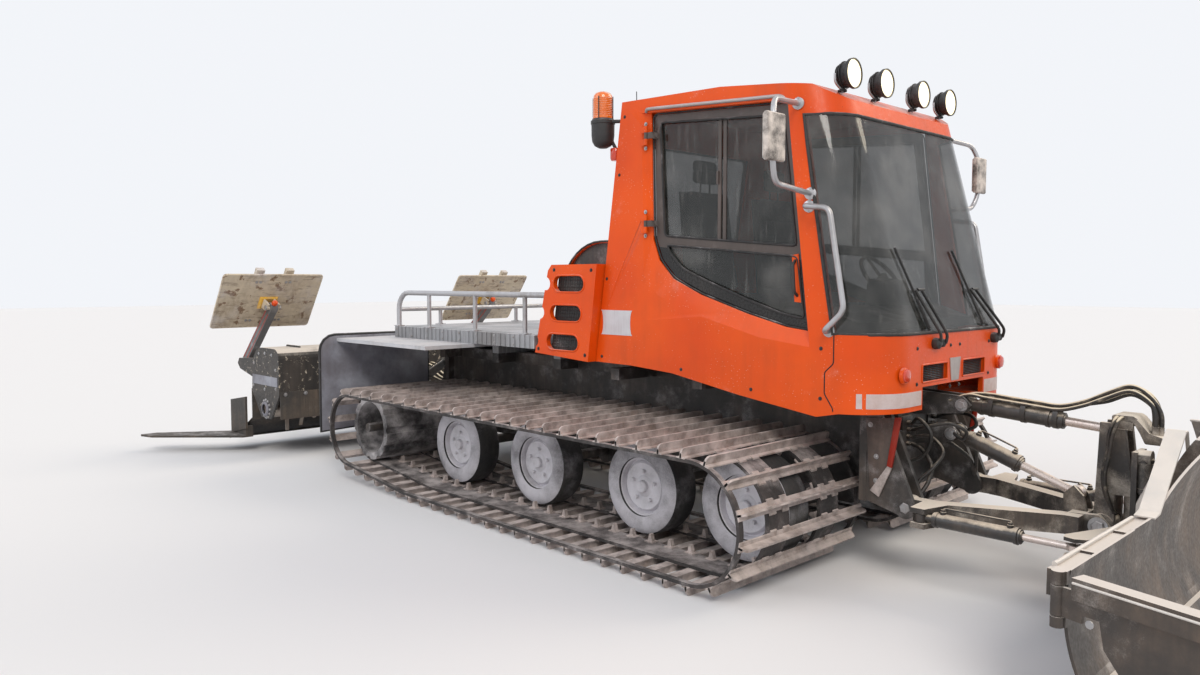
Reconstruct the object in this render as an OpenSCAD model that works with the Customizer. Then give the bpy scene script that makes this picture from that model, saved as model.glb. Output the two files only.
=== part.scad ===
/* [Tracks] */
// Width over both tracks
overall_w = 3100; // [2900:10:3400]
// Width of one track
track_w = 1190; // [1000:10:1250]
// Height of a grouser above its belts
grouser_h = 55; // [35:1:70]
// Distance from the front wheel's axle to the drive axle
wheelbase = 3763; // [3600:1:3900]
// Height of the upper run of the belts
track_top = 750; // [720:1:800]
// Outer radius of the belts round the drive sprocket
sprocket_r = 300; // [270:1:320]
// Thickness of a belt
belt_t = 20; // [14:1:26]
// Number of grousers on one track
grouser_n = 58; // [50:1:62]
// Radius of a road wheel's tyre
tyre_r = 310; // [290:1:312]
// Width of a road wheel's tyre
tyre_w = 220; // [160:5:260]

/* [Cab] */
// Half the width of the cab
cab_half_w = 850; // [820:5:880]
// Thickness of the cab's walls
cab_wall = 40; // [30:1:50]
// Height of the cab's roof at the rear
roof_z = 2900; // [2850:5:2960]
// Height of the lower edge of the windshield
sill_z = 1410; // [1390:1:1430]
// How far the windshield leans back, in degrees
lean = 15.3; // [14:0.1:16]
// Radius of the cab's front corners in plan
corner_r = 300; // [260:5:330]
// Thickness of the glass
glass_t = 10; // [6:1:14]
// Thickness of a door
door_t = 40; // [30:1:45]
// How deep a door lies inside the cab's side
door_recess = 50; // [40:1:60]
// Gap round a door
door_gap = 8; // [5:1:12]

/* [Deck] */
// Half the width of the load deck
deck_half_w = 930; // [880:5:980]
// Height of the deck's floor
deck_z = 1300; // [1280:5:1340]
// Height of the railing above the deck
rail_h = 300; // [250:5:340]
// Radius of the railing's tube
rail_r = 22; // [18:1:26]

/* [Blade] */
// Half the width of the blade, out to its wing hinges
blade_half_w = 1700; // [1600:10:1800]
// Height of the blade's middle
blade_top = 980; // [900:10:1020]
// Height of the blade's ends and of the wings
wing_top = 650; // [600:10:700]
// Height of the cutting edge as the blade is parked
blade_low = 60; // [40:5:80]
// Length of a wing
wing_len = 640; // [560:10:700]
// How far the parked wings stand out from straight ahead, in degrees
wing_open = 16; // [10:1:22]

/* [Tiller] */
// Half the width of the tiller
tiller_half_w = 1560; // [1450:10:1650]
// Radius of the tiller's rotor over its teeth
rotor_r = 235; // [200:5:245]
// Height of the rotor's axle
rotor_z = 470; // [450:5:500]
// Half the distance between the track setters
setter_y = 1350; // [1250:10:1350]
// Width of a track setter's plate
setter_w = 1000; // [800:10:1040]

/* [Hidden] */
$fn = 48;

// Colours
orange = [0.84, 0.30, 0.06];
steel_dark = [0.16, 0.15, 0.15];
steel_grey = [0.55, 0.55, 0.56];
rubber = [0.07, 0.07, 0.08];
glass_tint = [0.16, 0.18, 0.17, 0.5];
snow_white = [0.88, 0.88, 0.90];
bright_steel = [0.72, 0.72, 0.74];
flap_grey = [0.45, 0.47, 0.52];
amber = [0.95, 0.45, 0.05];

// Clearances: touching seats, moving sides and turning pins
seat_gap = 0.3;
side_gap = 5;
pin_gap = 0.05;

// Track path: wheel centres and the bend of the lower run
front_x = wheelbase / 2 - 23.5;
rear_x = front_x - wheelbase;
front_r = (track_top - grouser_h) / 2;
front_z = grouser_h + front_r;
sprocket_z = track_top - sprocket_r;
bend_x = -1030;
track_y = (overall_w - track_w) / 2;
wheel_x = [front_x, 1040, -10, bend_x + 30];
wheel_z = grouser_h + belt_t + tyre_r + seat_gap;
front_wheel_z = front_z;
disc_r = 190;
axle_r = 38;

// Lengths along the belt: upper run, front bend, lower run, rise, sprocket bend
rise_d = [rear_x - bend_x, sprocket_z - grouser_h];
rise_a = atan2(rise_d[1], rise_d[0]) + asin(sprocket_r / norm(rise_d));
rise_len = sqrt(pow(norm(rise_d), 2) - pow(sprocket_r, 2));
wrap_a = rise_a;
run_1 = wheelbase;
run_2 = run_1 + PI * front_r;
run_3 = run_2 + front_x - bend_x;
run_4 = run_3 + rise_len;
belt_len = run_4 + sprocket_r * wrap_a * PI / 180;

// Point on the belt's outer face and its outward direction, for a length s
function on_belt(s) =
  s < run_1 ? [rear_x + s, track_top, 90] :
  s < run_2 ? let (a = 90 - (s - run_1) / front_r * 180 / PI)
    [front_x + front_r * cos(a), front_z + front_r * sin(a), a] :
  s < run_3 ? [front_x - (s - run_2), grouser_h, -90] :
  s < run_4 ? let (d = s - run_3)
    [bend_x + d * cos(rise_a), grouser_h + d * sin(rise_a), rise_a + 90] :
  let (a = rise_a + 90 - (s - run_4) / sprocket_r * 180 / PI)
    [rear_x + sprocket_r * cos(a), sprocket_z + sprocket_r * sin(a), a];

// Chassis
tub_half_w = 290;
tub_low = 340;
tub_top = 1000;
tub_front = 2320;
tub_rear = -2200;
plate_t = 15;

// Cab outline
cab_rear_low = 410;
cab_low = 1140;
cab_front = 2600;
seam_x = 2305;
cab_rear_lean = (roof_z - cab_low) / 255;
pillar_low = [2300, sill_z];
pillar_slope = 0.1832;
header_z = roof_z - 260;
function pillar_x(z) = pillar_low[0] - pillar_slope * (z - pillar_low[1]);
function cab_y(x, z) = let (c = z > sill_z ? cos(lean) : 1, r = corner_r / c,
  u = max(0, (x - (cab_front - max(0, z - sill_z) * tan(lean) - r)) / r))
  cab_half_w - corner_r + corner_r * sqrt(1 - u * u);
function rear_edge_x(z) = cab_rear_low + (z - cab_low) / cab_rear_lean;

// Door opening, seen from the side: rear edge, curved sill, front edge
door_pts = [[906, roof_z - 100], [pillar_x(roof_z - 170) - 78, roof_z - 170], [2140, 1420], [1970, 1440], [1690, 1510], [1330, 1620],
  [1100, 1720], [980, 1840], [925, 1980]];
door_rail_z = 1990;
hinge_x = 900;
hinge_y = cab_half_w + 16;
knuckle_r = 12;

// Blade linkage, all in the middle plane: [x, z]
lift_pin = [2560, 430];
push_y = 430;
push_w = 70;
pitch_pin = [3440, 430];
lift_anchor = [2620, 810];
lift_eye = [3290, 560];
upper_anchor = [2680, 985];
upper_eye = [3474, 926];
swing_x = 3580;
swing_anchor = [2700, 590];
swing_eye = [3480, 590];
swing_z = 425;
tilt_z = 480;
tilt_top = [-190, 830];
tilt_low = [-190, 560];
tilt_x = 3660;
blade_back = 3800;
blade_arc_r = 700;
sheet_t = 12;
wing_hinge_x = 3790;

// Tiller and track setters
hitch_pin = [-2275, 480];
hitch_y = 295;
hitch_w = 50;
rotor_x = -3480;
housing_front = -3180;
housing_rear = -3800;
housing_top = 1060;
hitch_cyl_top = [-2330, 950];
hitch_cyl_eye = [-3000, 640];
setter_pin = [-4450, 840];
setter_head = [-3760, 1440];
finisher_tip = [-4640, 2350];

// Middle of the whole machine, put on the origin
wing_end_x = wing_hinge_x + wing_len * cos(wing_open);
mid_x = (wing_end_x + finisher_tip[0]) / 2;

module in_frame() {
  translate([-mid_x, 0, 0]) children();
}

// Extrudes each profile drawn in x and z along the machine's width
module along_y(w) {
  for (i = [0:$children - 1]) rotate([90, 0, 0]) linear_extrude(w, center = true) children(i);
}

// The same, between two places across the machine
module from_y(a, b) {
  translate([0, (a + b) / 2, 0]) for (i = [0:$children - 1]) along_y(abs(b - a)) children(i);
}

module both_sides() {
  children();
  mirror([0, 1, 0]) children();
}

// Round bar from one point to another
module bar(p, q, r) {
  d = q - p;
  translate(p) rotate([0, acos(d[2] / norm(d)), atan2(d[1], d[0])]) cylinder(h = norm(d), r = r);
}

// Bent tube through a list of points
module bent_tube(pts, r) {
  for (i = [0:len(pts) - 2]) bar(pts[i], pts[i + 1], r);
  for (i = [1:len(pts) - 2]) translate(pts[i]) sphere(1.03 * r, $fn = 24);
}

// Round boss or pin across the machine
module pin_y(p, a, b, r) {
  translate([p[0], (a + b) / 2, p[1]]) rotate([90, 0, 0]) cylinder(h = abs(b - a), r = r, center = true);
}

module pin_z(p, a, b, r) {
  translate([p[0], p[1], a]) cylinder(h = b - a, r = r);
}

module box(lo, hi) {
  translate(lo) cube(hi - lo);
}

// Steps round each bend of the belts
bend_n = 10;

// Belt line that lies t inside the outer face
function belt_line(t) = concat(
  [for (i = [0:bend_n]) let (a = 90 - i * 180 / bend_n)
    [front_x + (front_r - t) * cos(a), front_z + (front_r - t) * sin(a)]],
  [[bend_x, grouser_h + t]],
  [for (i = [0:bend_n]) let (a = 90 + rise_a * (1 - i / bend_n))
    [rear_x + (sprocket_r - t) * cos(a), sprocket_z + (sprocket_r - t) * sin(a)]]);

// Each pair of belts, as shares of the track's width: from, to
belt_bands = [[-0.5, -0.126], [0.126, 0.5]];

// One grouser's profile, along the belt and outward; its base sinks by d into a bent belt
function grouser_profile(d) = [[-26, -d], [26, -d], [7, grouser_h], [-7, grouser_h]];
function sink(s) = (s > run_1 - 30 && s < run_2 + 30) || s > run_3 - 30 || s < 30 ? 8 : 0;

module track(side) {
  for (b = belt_bands) from_y(side * track_y + b[0] * track_w, side * track_y + b[1] * track_w) difference() {
    polygon(belt_line(0));
    polygon(belt_line(belt_t));
  }
  for (i = [0:grouser_n - 1]) {
    s = (i + 0.5) * belt_len / grouser_n;
    p = on_belt(s);
    translate([p[0], side * track_y, p[1]]) rotate([0, 90 - p[2], 0])
      along_y(track_w) polygon(grouser_profile(sink(s)));
  }
}

module track_right() {
  color(rubber) in_frame() track(-1);
}

module track_left() {
  color(rubber) in_frame() track(1);
}

function wheel_centre_z(i) = i == 0 ? front_wheel_z : wheel_z;
function wheel_r(i) = i == 0 ? (front_r - belt_t) * cos(90 / bend_n) - seat_gap : tyre_r;

// Ring of n flats between two radii
tyre_n = 16;
function round_line(r, n) = [for (i = [0:n - 1]) r * [cos(i * 360 / n - 90), sin(i * 360 / n - 90)]];
module wheel_tyres() {
  color(rubber) in_frame() both_sides() for (i = [0:len(wheel_x) - 1]) {
    translate([wheel_x[i], track_y, wheel_centre_z(i)]) along_y(tyre_w) difference() {
      polygon(round_line(wheel_r(i), tyre_n));
      polygon(round_line(disc_r / cos(180 / tyre_n), tyre_n));
    }
  }
}

module wheel_discs() {
  color(snow_white) in_frame() both_sides() for (i = [0:len(wheel_x) - 1]) {
    translate([wheel_x[i], track_y, wheel_centre_z(i)]) rotate([-90, 0, 0])
      rotate_extrude() polygon([[axle_r + seat_gap, 20], [60, 70], [110, 60], [150, 30],
        [disc_r - seat_gap, 60], [disc_r - seat_gap, -60], [150, 5], [axle_r + seat_gap, 0]]);
  }
}

module drive_sprockets() {
  teeth = 11;
  color(steel_dark) in_frame() both_sides() translate([rear_x, track_y, sprocket_z]) rotate([90, 0, 0]) {
    difference() {
      cylinder(h = 0.62 * track_w, r = (sprocket_r - belt_t) * cos(rise_a / 2 / bend_n) - seat_gap,
        center = true);
      for (s = [-1, 1]) translate([0, 0, s * 0.2 * track_w]) cylinder(h = 0.24 * track_w,
        r = sprocket_r - belt_t - 60, center = true);
      for (i = [0:teeth - 1]) rotate(i * 360 / teeth) translate([sprocket_r - belt_t + 8, 0, 0])
        cylinder(h = track_w, r = 32, center = true);
      cylinder(h = track_w, r = axle_r + seat_gap, center = true);
    }
  }
}

module chassis_frame() {
  color(steel_dark) in_frame() {
    difference() {
      from_y(-tub_half_w, tub_half_w) polygon([[tub_rear, 420], [-1900, tub_low], [2100, tub_low],
        [tub_front, 430], [tub_front, tub_top], [tub_rear, tub_top]]);
      from_y(-tub_half_w + plate_t, tub_half_w - plate_t) polygon([[tub_rear + 300, tub_low + plate_t],
        [2080, tub_low + plate_t], [tub_front - 60, 440], [tub_front - 60, tub_top + 1],
        [tub_rear + 300, tub_top + 1]]);
    }
    // Axle stubs and their beams
    both_sides() for (i = [0:len(wheel_x) - 1]) {
      pin_y([wheel_x[i], wheel_centre_z(i)], tub_half_w - 5, track_y + 25, axle_r);
      pin_y([wheel_x[i], wheel_centre_z(i)], tub_half_w - 5, tub_half_w + 60, 95);
    }
    both_sides() pin_y([rear_x, sprocket_z], tub_half_w - 5, track_y + 0.33 * track_w, axle_r);
    both_sides() pin_y([rear_x, sprocket_z], tub_half_w - 5, track_y - 0.32 * track_w, 150);
    // Platform rails under deck and cab
    both_sides() box([tub_rear, tub_half_w - 5, 1000], [2200, tub_half_w + 75, 1090]);
    for (x = beam_x) box([x - 40, -550, 1010], [x + 40, 550, 1090]);
    for (x = [500, 1250, 1950]) box([x - 40, -750, 1010], [x + 40, 750, 1090]);
    // Front bulkhead and a fork on each side with the push frame's pins
    box([2275, -505, 430], [tub_front, 505, 955]);
    both_sides() for (y = [push_y - push_w / 2 - side_gap - 30, push_y + push_w / 2 + side_gap]) {
      from_y(y, y + 30) polygon([[2310, 440], [2310, 950], [2400, 950], [2620, 440], [2560, 375], [2480, 395]]);
      pin_y(lift_pin, y, y + 30, 62);
    }
    both_sides() pin_y(lift_pin, push_y - push_w / 2 - side_gap - 30,
      push_y + push_w / 2 + side_gap + 30, 30);
    // Cross beam and upright with the ears of the lift and upper cylinders
    box([2310, -505, 720], [2400, 505, 820]);
    box([2310, -250, 800], [2380, 250, 1060]);
    for (s = [-1, 1]) {
      from_y(s * 45, s * 65) polygon([[2370, 720], [2370, 830], [2620, 860], [2665, 810], [2620, 760]]);
      from_y(s * 45, s * 65) polygon([[2370, 900], [2370, 1050], [2680, 1035], [2730, 985], [2680, 935]]);
    }
    pin_y(lift_anchor, -60, 60, 25);
    pin_y(upper_anchor, -60, 60, 25);
    // Rear bulkhead and the hitch's forks
    box([-2210, -348, 420], [-2150, 348, 1000]);
    both_sides() for (y = [hitch_y - hitch_w / 2 - side_gap - 20, hitch_y + hitch_w / 2 + side_gap])
      from_y(y, y + 20) polygon([[-2190, 420], [-2190, 900], [-2230, 900], [-2320, 520],
        [-2320, 440], [-2260, 400]]);
    both_sides() pin_y(hitch_pin, hitch_y - hitch_w / 2 - side_gap - 20,
      hitch_y + hitch_w / 2 + side_gap + 20, 30);
    both_sides() for (y = [150, 230]) from_y(y, y + 20) polygon([[-2190, 880], [-2190, 1000],
      [-2330, 1000], [-2375, 950], [-2330, 900]]);
    both_sides() pin_y(hitch_cyl_top, 155, 245, 22);
  }
}

module engine_block() {
  color(steel_grey) in_frame() box([-850, -240, tub_low + plate_t + seat_gap], [150, 240, 990]);
}

module engine_hood() {
  color(steel_dark) in_frame() difference() {
    hood_form(620, 420, deck_z + seat_gap);
    hood_form(600, 400, deck_z - 5);
  }
}

// Curved skin that laps over the box from the deck to the cab
skin_half_w = 645;
module hood_skin() {
  color(orange) in_frame() difference() {
    hood_form(skin_half_w, 432, deck_z + seat_gap);
    hood_form(skin_half_w + 5, 420 + seat_gap, deck_z - 5);
  }
}

// Rounded box over the engine: its rear edge is a quarter of a circle
module hood_form(half_w, r, low) {
  intersection() {
    union() {
      pin_y([240, 1560], -half_w, half_w, r);
      box([240 - r, -half_w, low], [240, half_w, 1560]);
      box([200, -half_w, low], [r - 20, half_w, 1560 + r]);
    }
    box([-400, -700, low], [r - 20, 700, 2100]);
  }
}

// Side covers with three rounded louvre slots and a scalloped rear edge
louvre_z = [1265, 1475, 1685];
module side_covers() {
  color(orange) in_frame() both_sides() difference() {
    union() {
      from_y(deck_half_w - 45, deck_half_w - 5)
        polygon([[-170, 1175], [405, 1140], [495, 1822], [20, 1822], [-20, 1780]]);
      from_y(cab_half_w - 60, deck_half_w - 20) polygon([[365, 1145], [405, 1140], [495, 1822], [455, 1822]]);
      from_y(skin_half_w + seat_gap, deck_half_w - 20)
        polygon([[20, 1800], [492, 1800], [495, 1822], [20, 1822]]);
    }
    for (i = [0:2]) {
      pin_y([-180 + 68 * i, louvre_z[i]], deck_half_w - 60, deck_half_w, 48);
      slot(20 + 40 * i, 250 + 30 * i, louvre_z[i], 60);
    }
    from_y(cab_half_w - 240, cab_half_w + seat_gap) polygon([[cab_rear_low - seat_gap, 1100],
      [cab_rear_low + 200, 1100], [cab_rear_low + 300, 1830],
      [rear_edge_x(1830) - seat_gap, 1830]]);
  }
}

// Cutter for a round-ended slot through the side covers
module slot(x0, x1, z, r) {
  pin_y([x0, z], deck_half_w - 60, deck_half_w, r);
  pin_y([x1, z], deck_half_w - 60, deck_half_w, r);
  box([x0, deck_half_w - 60, z - r], [x1, deck_half_w, z + r]);
}

deck_rear = -2150;
deck_front = -180;
deck_t = 100;
cover_in = cab_half_w - 60 - seat_gap;
beam_x = [-1950, -1150, -350];
deck_hole = [[-500, 480], [-1700, 480]];
module cargo_deck() {
  color(bright_steel) in_frame() {
    difference() {
      union() {
        box([deck_rear, -deck_half_w + 6, deck_z - deck_t], [deck_front, deck_half_w - 6, deck_z]);
        box([deck_front, -cover_in, deck_z - deck_t], [cab_rear_low - 5, cover_in, deck_z]);
        // Tread plate inside the railing
        box([deck_rear + 70, -deck_half_w + 80, deck_z - 1], [deck_front - 50, deck_half_w - 80, deck_z + 3]);
      }
      both_sides() for (p = deck_hole) pin_z(p, 0, 2000, 9);
    }
    both_sides() for (x = [deck_rear + 30:60:deck_front - 40])
      box([x, deck_half_w - 8, deck_z - deck_t], [x + 30, deck_half_w, deck_z]);
    // Bearers down to the platform rails
    for (x = beam_x) box([x - 40, -550, 1090 + seat_gap], [x + 40, 550, deck_z - deck_t]);
  }
}

// Railing round the deck's rear; its ends meet the side covers
rail_front = -71;
rail_rear = -2130;
post_x = [-330, -970, -1640];
module deck_railing() {
  y = deck_half_w - 40;
  top = deck_z + rail_h;
  r = rail_h / 2;
  color(bright_steel) in_frame() {
    // Each side rail curves down to the deck at the rear, and a cross rail joins the two
    both_sides() bent_tube(concat([[rail_front, y, top]],
      [for (a = [90:15:180]) [rail_rear + r + r * cos(a), y, top - r + r * sin(a)]],
      [[rail_rear, y, deck_z + seat_gap]]), rail_r);
    bar([rail_rear, -y, top - r], [rail_rear, y, top - r], rail_r - 2);
    both_sides() for (x = post_x) bar([x, y, deck_z + seat_gap], [x, y, top], rail_r - 4);
    for (y = [-450, 450]) bar([rail_rear, y, deck_z + seat_gap], [rail_rear, y, top - r], rail_r - 4);
  }
}

flap_x = -2390;
module fenders() {
  color(snow_white) in_frame() both_sides()
    box([flap_x + 15 + seat_gap, 560, deck_z - deck_t - 30], [-950, 1380, deck_z - deck_t - seat_gap]);
}

module mud_flaps() {
  color(flap_grey) in_frame() both_sides() translate([flap_x, 0, 0]) rotate([90, 0, 90])
    linear_extrude(15) polygon(concat([[430, 420], [1540, 380]],
      [for (a = [0:18:90]) [1400 + 140 * cos(a), 1090 + 140 * sin(a)]], [[430, 1230]]));
}

// Outline of the cab seen from the side, drawn in by t
function cab_side_pts(t) = [
  [rear_edge_x(cab_low) + t, cab_low + t], [rear_edge_x(roof_z) + t, roof_z - t],
  [1500, roof_z - 25 - t], [2100, roof_z - 90 - t], [2320, roof_z - 220 - t],
  [2700, roof_z - 250], [2700, 985 + t], [2340, 975 + t], [2200, 945 + t], [1650, 1020 + t],
  [1120, 1110 + t], [750, 1135 + t]];

// Column with the cab's outline seen from above, drawn in by t
module cab_column(t, front, h) {
  w = cab_half_w - t;
  core = cab_half_w - corner_r;
  translate([0, -w, 0]) cube([front - corner_r, 2 * w, h]);
  translate([0, -core, 0]) cube([front - t, 2 * core, h]);
  for (s = [-1, 1]) translate([front - corner_r, s * core, 0]) cylinder(h = h, r = corner_r - t);
}

// The cab as a solid, drawn in by t on every face
module cab_form(t) {
  intersection() {
    along_y(2 * (cab_half_w - t)) polygon(cab_side_pts(t));
    union() {
      translate([0, 0, 900]) cab_column(t, cab_front, sill_z - 900);
      intersection() {
        translate([sill_z * tan(lean), 0, 0]) rotate([0, -lean, 0])
          translate([0, 0, -600]) cab_column(t, cab_front * cos(lean), 4500);
        box([-500, -1000, sill_z], [3000, 1000, roof_z + 300]);
      }
    }
  }
}

module cab_shell(t) {
  difference() {
    cab_form(0);
    cab_form(t);
  }
}

// Areas of the side view that each panel takes
area_top = roof_z + 100;
seam = [[seam_x, 800], [seam_x, 1000], [2250, 1080], [2250, 1200], [seam_x, 1250], [seam_x, sill_z]];
side_area = concat([[0, 800]], seam, [[pillar_low[0], sill_z], [pillar_x(area_top), area_top], [0, area_top]]);
nose_area = concat([for (p = seam) p + [seat_gap, 0]], [[2800, sill_z], [2800, 800]]);
screen_area = [[pillar_x(sill_z) + seat_gap, sill_z + seat_gap], [2800, sill_z + seat_gap],
  [2800, header_z], [pillar_x(header_z) + seat_gap, header_z]];
header_area = [[pillar_x(header_z) + seat_gap, header_z + seat_gap], [2800, header_z + seat_gap],
  [2800, area_top], [pillar_x(area_top) + seat_gap, area_top]];

module cab_side(s) {
  difference() {
    intersection() {
      cab_shell(cab_wall);
      from_y(s * (cab_half_w - 90), s * (cab_half_w + 5)) polygon(side_area);
    }
    from_y(s * (cab_half_w - 200), s * (cab_half_w + 50)) polygon(door_pts);
  }
  // Fixed hinge knuckles with their pins
  for (z = door_hinge_z) {
    pin_z([hinge_x, s * hinge_y], z - 60, z + 60, 6);
    for (d = [-60, 21]) {
      pin_z([hinge_x, s * hinge_y], z + d, z + d + 39, knuckle_r);
      box([hinge_x - 40, min(s * (cab_half_w - 1), s * hinge_y), z + d],
        [hinge_x, max(s * (cab_half_w - 1), s * hinge_y), z + d + 39]);
    }
  }
}
door_hinge_z = [2080, roof_z - 250];

module cab_side_right() {
  color(orange) in_frame() cab_side(-1);
}

module cab_side_left() {
  color(orange) in_frame() cab_side(1);
}

inner_y = cab_half_w - 90 - seat_gap;
window_half = cab_half_w - 290;
module cab_rear() {
  color(orange) in_frame() difference() {
    intersection() {
      cab_shell(cab_wall);
      from_y(-inner_y, inner_y) polygon([[0, 1000], [1000, 1000], [1000, roof_z - 150],
        [0, roof_z - 150]]);
      box([0, -2000, cab_low + cab_wall + 60], [1000, 2000, roof_z - 150]);
    }
    box([0, -window_half, roof_z - 880], [1000, window_half, header_z]);
  }
}

module rear_window() {
  color(glass_tint) in_frame() intersection() {
    difference() {
      cab_form(15);
      cab_form(15 + glass_t);
    }
    box([0, -window_half + seat_gap, roof_z - 880 + seat_gap],
      [1000, window_half - seat_gap, header_z - seat_gap]);
  }
}

module cab_roof() {
  color(orange) in_frame() intersection() {
    cab_shell(cab_wall);
    union() {
      from_y(-inner_y, inner_y) polygon([[400, roof_z - 150 + seat_gap], [1800, roof_z - 150 + seat_gap],
        [1900, header_z], [2150, header_z], [pillar_x(area_top), area_top], [400, area_top]]);
      along_y(2 * cab_half_w + 10) polygon(header_area);
    }
  }
}

module cab_floor() {
  color(steel_dark) in_frame() {
    box([480, -cab_half_w + cab_wall + 1, 1190], [2280, cab_half_w - cab_wall - 1, 1210]);
    both_sides() box([480, 300, 1090 + seat_gap], [2200, 360, 1190]);
    box([440, -inner_y, 1150], [480, inner_y, 1235]);
  }
}

slot_z = [1135, 1235];
module front_panel() {
  color(orange) in_frame() difference() {
    intersection() {
      cab_shell(30);
      along_y(2 * cab_half_w + 10) polygon(nose_area);
    }
    // Low middle cut between the side blocks, and two air slots
    box([2300, -400, 900], [2720, 400, 1110]);
    both_sides() box([2500, 100, slot_z[0]], [2700, 410, slot_z[1]]);
  }
}

module windshield() {
  color(glass_tint) in_frame() intersection() {
    cab_shell(glass_t);
    along_y(2 * cab_half_w + 10) polygon(screen_area);
  }
}

module seats() {
  color(rubber) in_frame() for (y = [-400, 400]) {
    box([1050, y - 250, 1500], [1560, y + 250, 1620]);
    from_y(y - 240, y + 240) polygon([[1050, 1620], [1170, 1620], [1080, 2330], [980, 2330]]);
    from_y(y - 130, y + 130) polygon([[985, 2350], [1065, 2350], [1045, 2530], [975, 2530]]);
    from_y(y - 20, y + 20) polygon([[1000, 2320], [1040, 2320], [1040, 2360], [1000, 2360]]);
    box([1120, y - 180, 1210 + seat_gap], [1500, y + 180, 1500]);
  }
}

module dashboard() {
  color(steel_dark) in_frame() {
    from_y(-720, 720) polygon([[2180, 1210 + seat_gap], [2260, 1210 + seat_gap], [2290, 1400],
      [2400, 1420], [2380, 1470], [2120, 1560], [2060, 1520], [2150, 1420]]);
    from_y(-60, 60) polygon([[1560, 1210 + seat_gap], [2100, 1210 + seat_gap], [2000, 1480], [1600, 1480]]);
  }
}

// A tube's foot stands just off the cab's curved side
function foot(x, z, off) = [x, cab_y(x, z) + off, z];
mirror_pts = [foot(2045, roof_z - 200, 5.2), [2140, 1200, roof_z - 235], [2170, 1250, roof_z - 340],
  [2170, 1250, 2320], [2150, 1200, 2220], foot(2140, 2190, 3.2)];
module mirrors() {
  color(bright_steel) in_frame() both_sides() {
    bent_tube(mirror_pts, 16);
    box([2150, 1170, 2330], [2195, 1330, 2580]);
  }
}

grab_pts = [foot(2135, 2120, 1.9), foot(2135, 2120, 60), [2300, 910, 2100], [2400, 910, 1545],
  foot(2275, 1430, 60), foot(2275, 1430, 1.9)];
module grab_rails() {
  color(bright_steel) in_frame() both_sides() bent_tube(grab_pts, 16);
}

lamp_y = [600, 230];
module work_lamps() {
  color(bright_steel) in_frame() both_sides() for (y = lamp_y) {
    translate([2150, y, roof_z - 30]) rotate([0, 90, 0]) cylinder(h = 110, r1 = 55, r2 = 85);
    bar([2180, y, roof_z - 128], [2180, y, roof_z - 60], 14);
  }
}

beacon_x = 520;
module signal_lamps() {
  color(amber) in_frame() {
    bar([beacon_x, -790, roof_z - 110], [beacon_x, -790, roof_z - 50], 50);
    bar([beacon_x, -790, roof_z - 50], [beacon_x, -790, roof_z + 100], 55);
    bar([beacon_x, -790, roof_z - 90], [rear_edge_x(roof_z - 104) - seat_gap, -790, roof_z - 90], 14);
    for (s = [-1, 1]) bar([2599, s * 620, 1190], [2630, s * 620, 1190], 40);
  }
}

module wipers() {
  color(rubber) in_frame() for (y = [-276, 519]) {
    bar([2640, y, 1330], [2560, y - 200, 1650], 12);
    bar([2640, y - 60, 1330], [2560, y - 260, 1650], 12);
    bar([cab_front + seat_gap, y - 30, 1335], [2650, y - 30, 1335], 28);
  }
}

// Door outline drawn in by the gap, by moving each point toward the middle
door_mid = [1520, 2150];
function toward(p, d) = p + (door_mid - p) * d / norm(door_mid - p);
function door_in(d) = [for (p = door_pts) toward(p, d)];
module door(s) {
  y0 = s * (cab_half_w - door_recess);
  y1 = s * (cab_half_w - door_recess - door_t);
  from_y(y0, y1) difference() {
    polygon(door_in(2.2 * door_gap));
    intersection() {
      polygon(door_in(90));
      translate([0, door_rail_z + 30]) square([3000, 1000]);
    }
    intersection() {
      polygon(door_in(90));
      translate([0, door_rail_z - 30 - 1000]) square([3000, 1000]);
    }
  }
  // Hinge straps round the edge of the opening
  for (z = door_hinge_z) {
    difference() {
      union() {
        pin_z([hinge_x, s * hinge_y], z - 20, z + 20, knuckle_r);
        box([hinge_x, min(s * (hinge_y - 10), s * hinge_y), z - 20],
          [hinge_x + 50, max(s * (hinge_y - 10), s * hinge_y), z + 20]);
        box([hinge_x + 34, min(s * (cab_half_w - 60), s * hinge_y), z - 20],
          [hinge_x + 50, max(s * (cab_half_w - 60), s * hinge_y), z + 20]);
      }
      pin_z([hinge_x, s * hinge_y], z - 30, z + 30, 6 + pin_gap);
    }
  }
}

module door_glass(s) {
  y0 = s * (cab_half_w - door_recess - door_t / 2 - glass_t / 2);
  y1 = s * (cab_half_w - door_recess - door_t / 2 + glass_t / 2);
  from_y(y0, y1) difference() {
    polygon(door_in(90 + 0.4));
    translate([0, door_rail_z - 30 - seat_gap]) square([3000, 60 + 2 * seat_gap]);
  }
}

module door_right() {
  color(steel_dark) in_frame() door(-1);
}

module door_glass_right() {
  color(glass_tint) in_frame() door_glass(-1);
}

module door_left() {
  color(steel_dark) in_frame() door(1);
}

module door_glass_left() {
  color(glass_tint) in_frame() door_glass(1);
}

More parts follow.
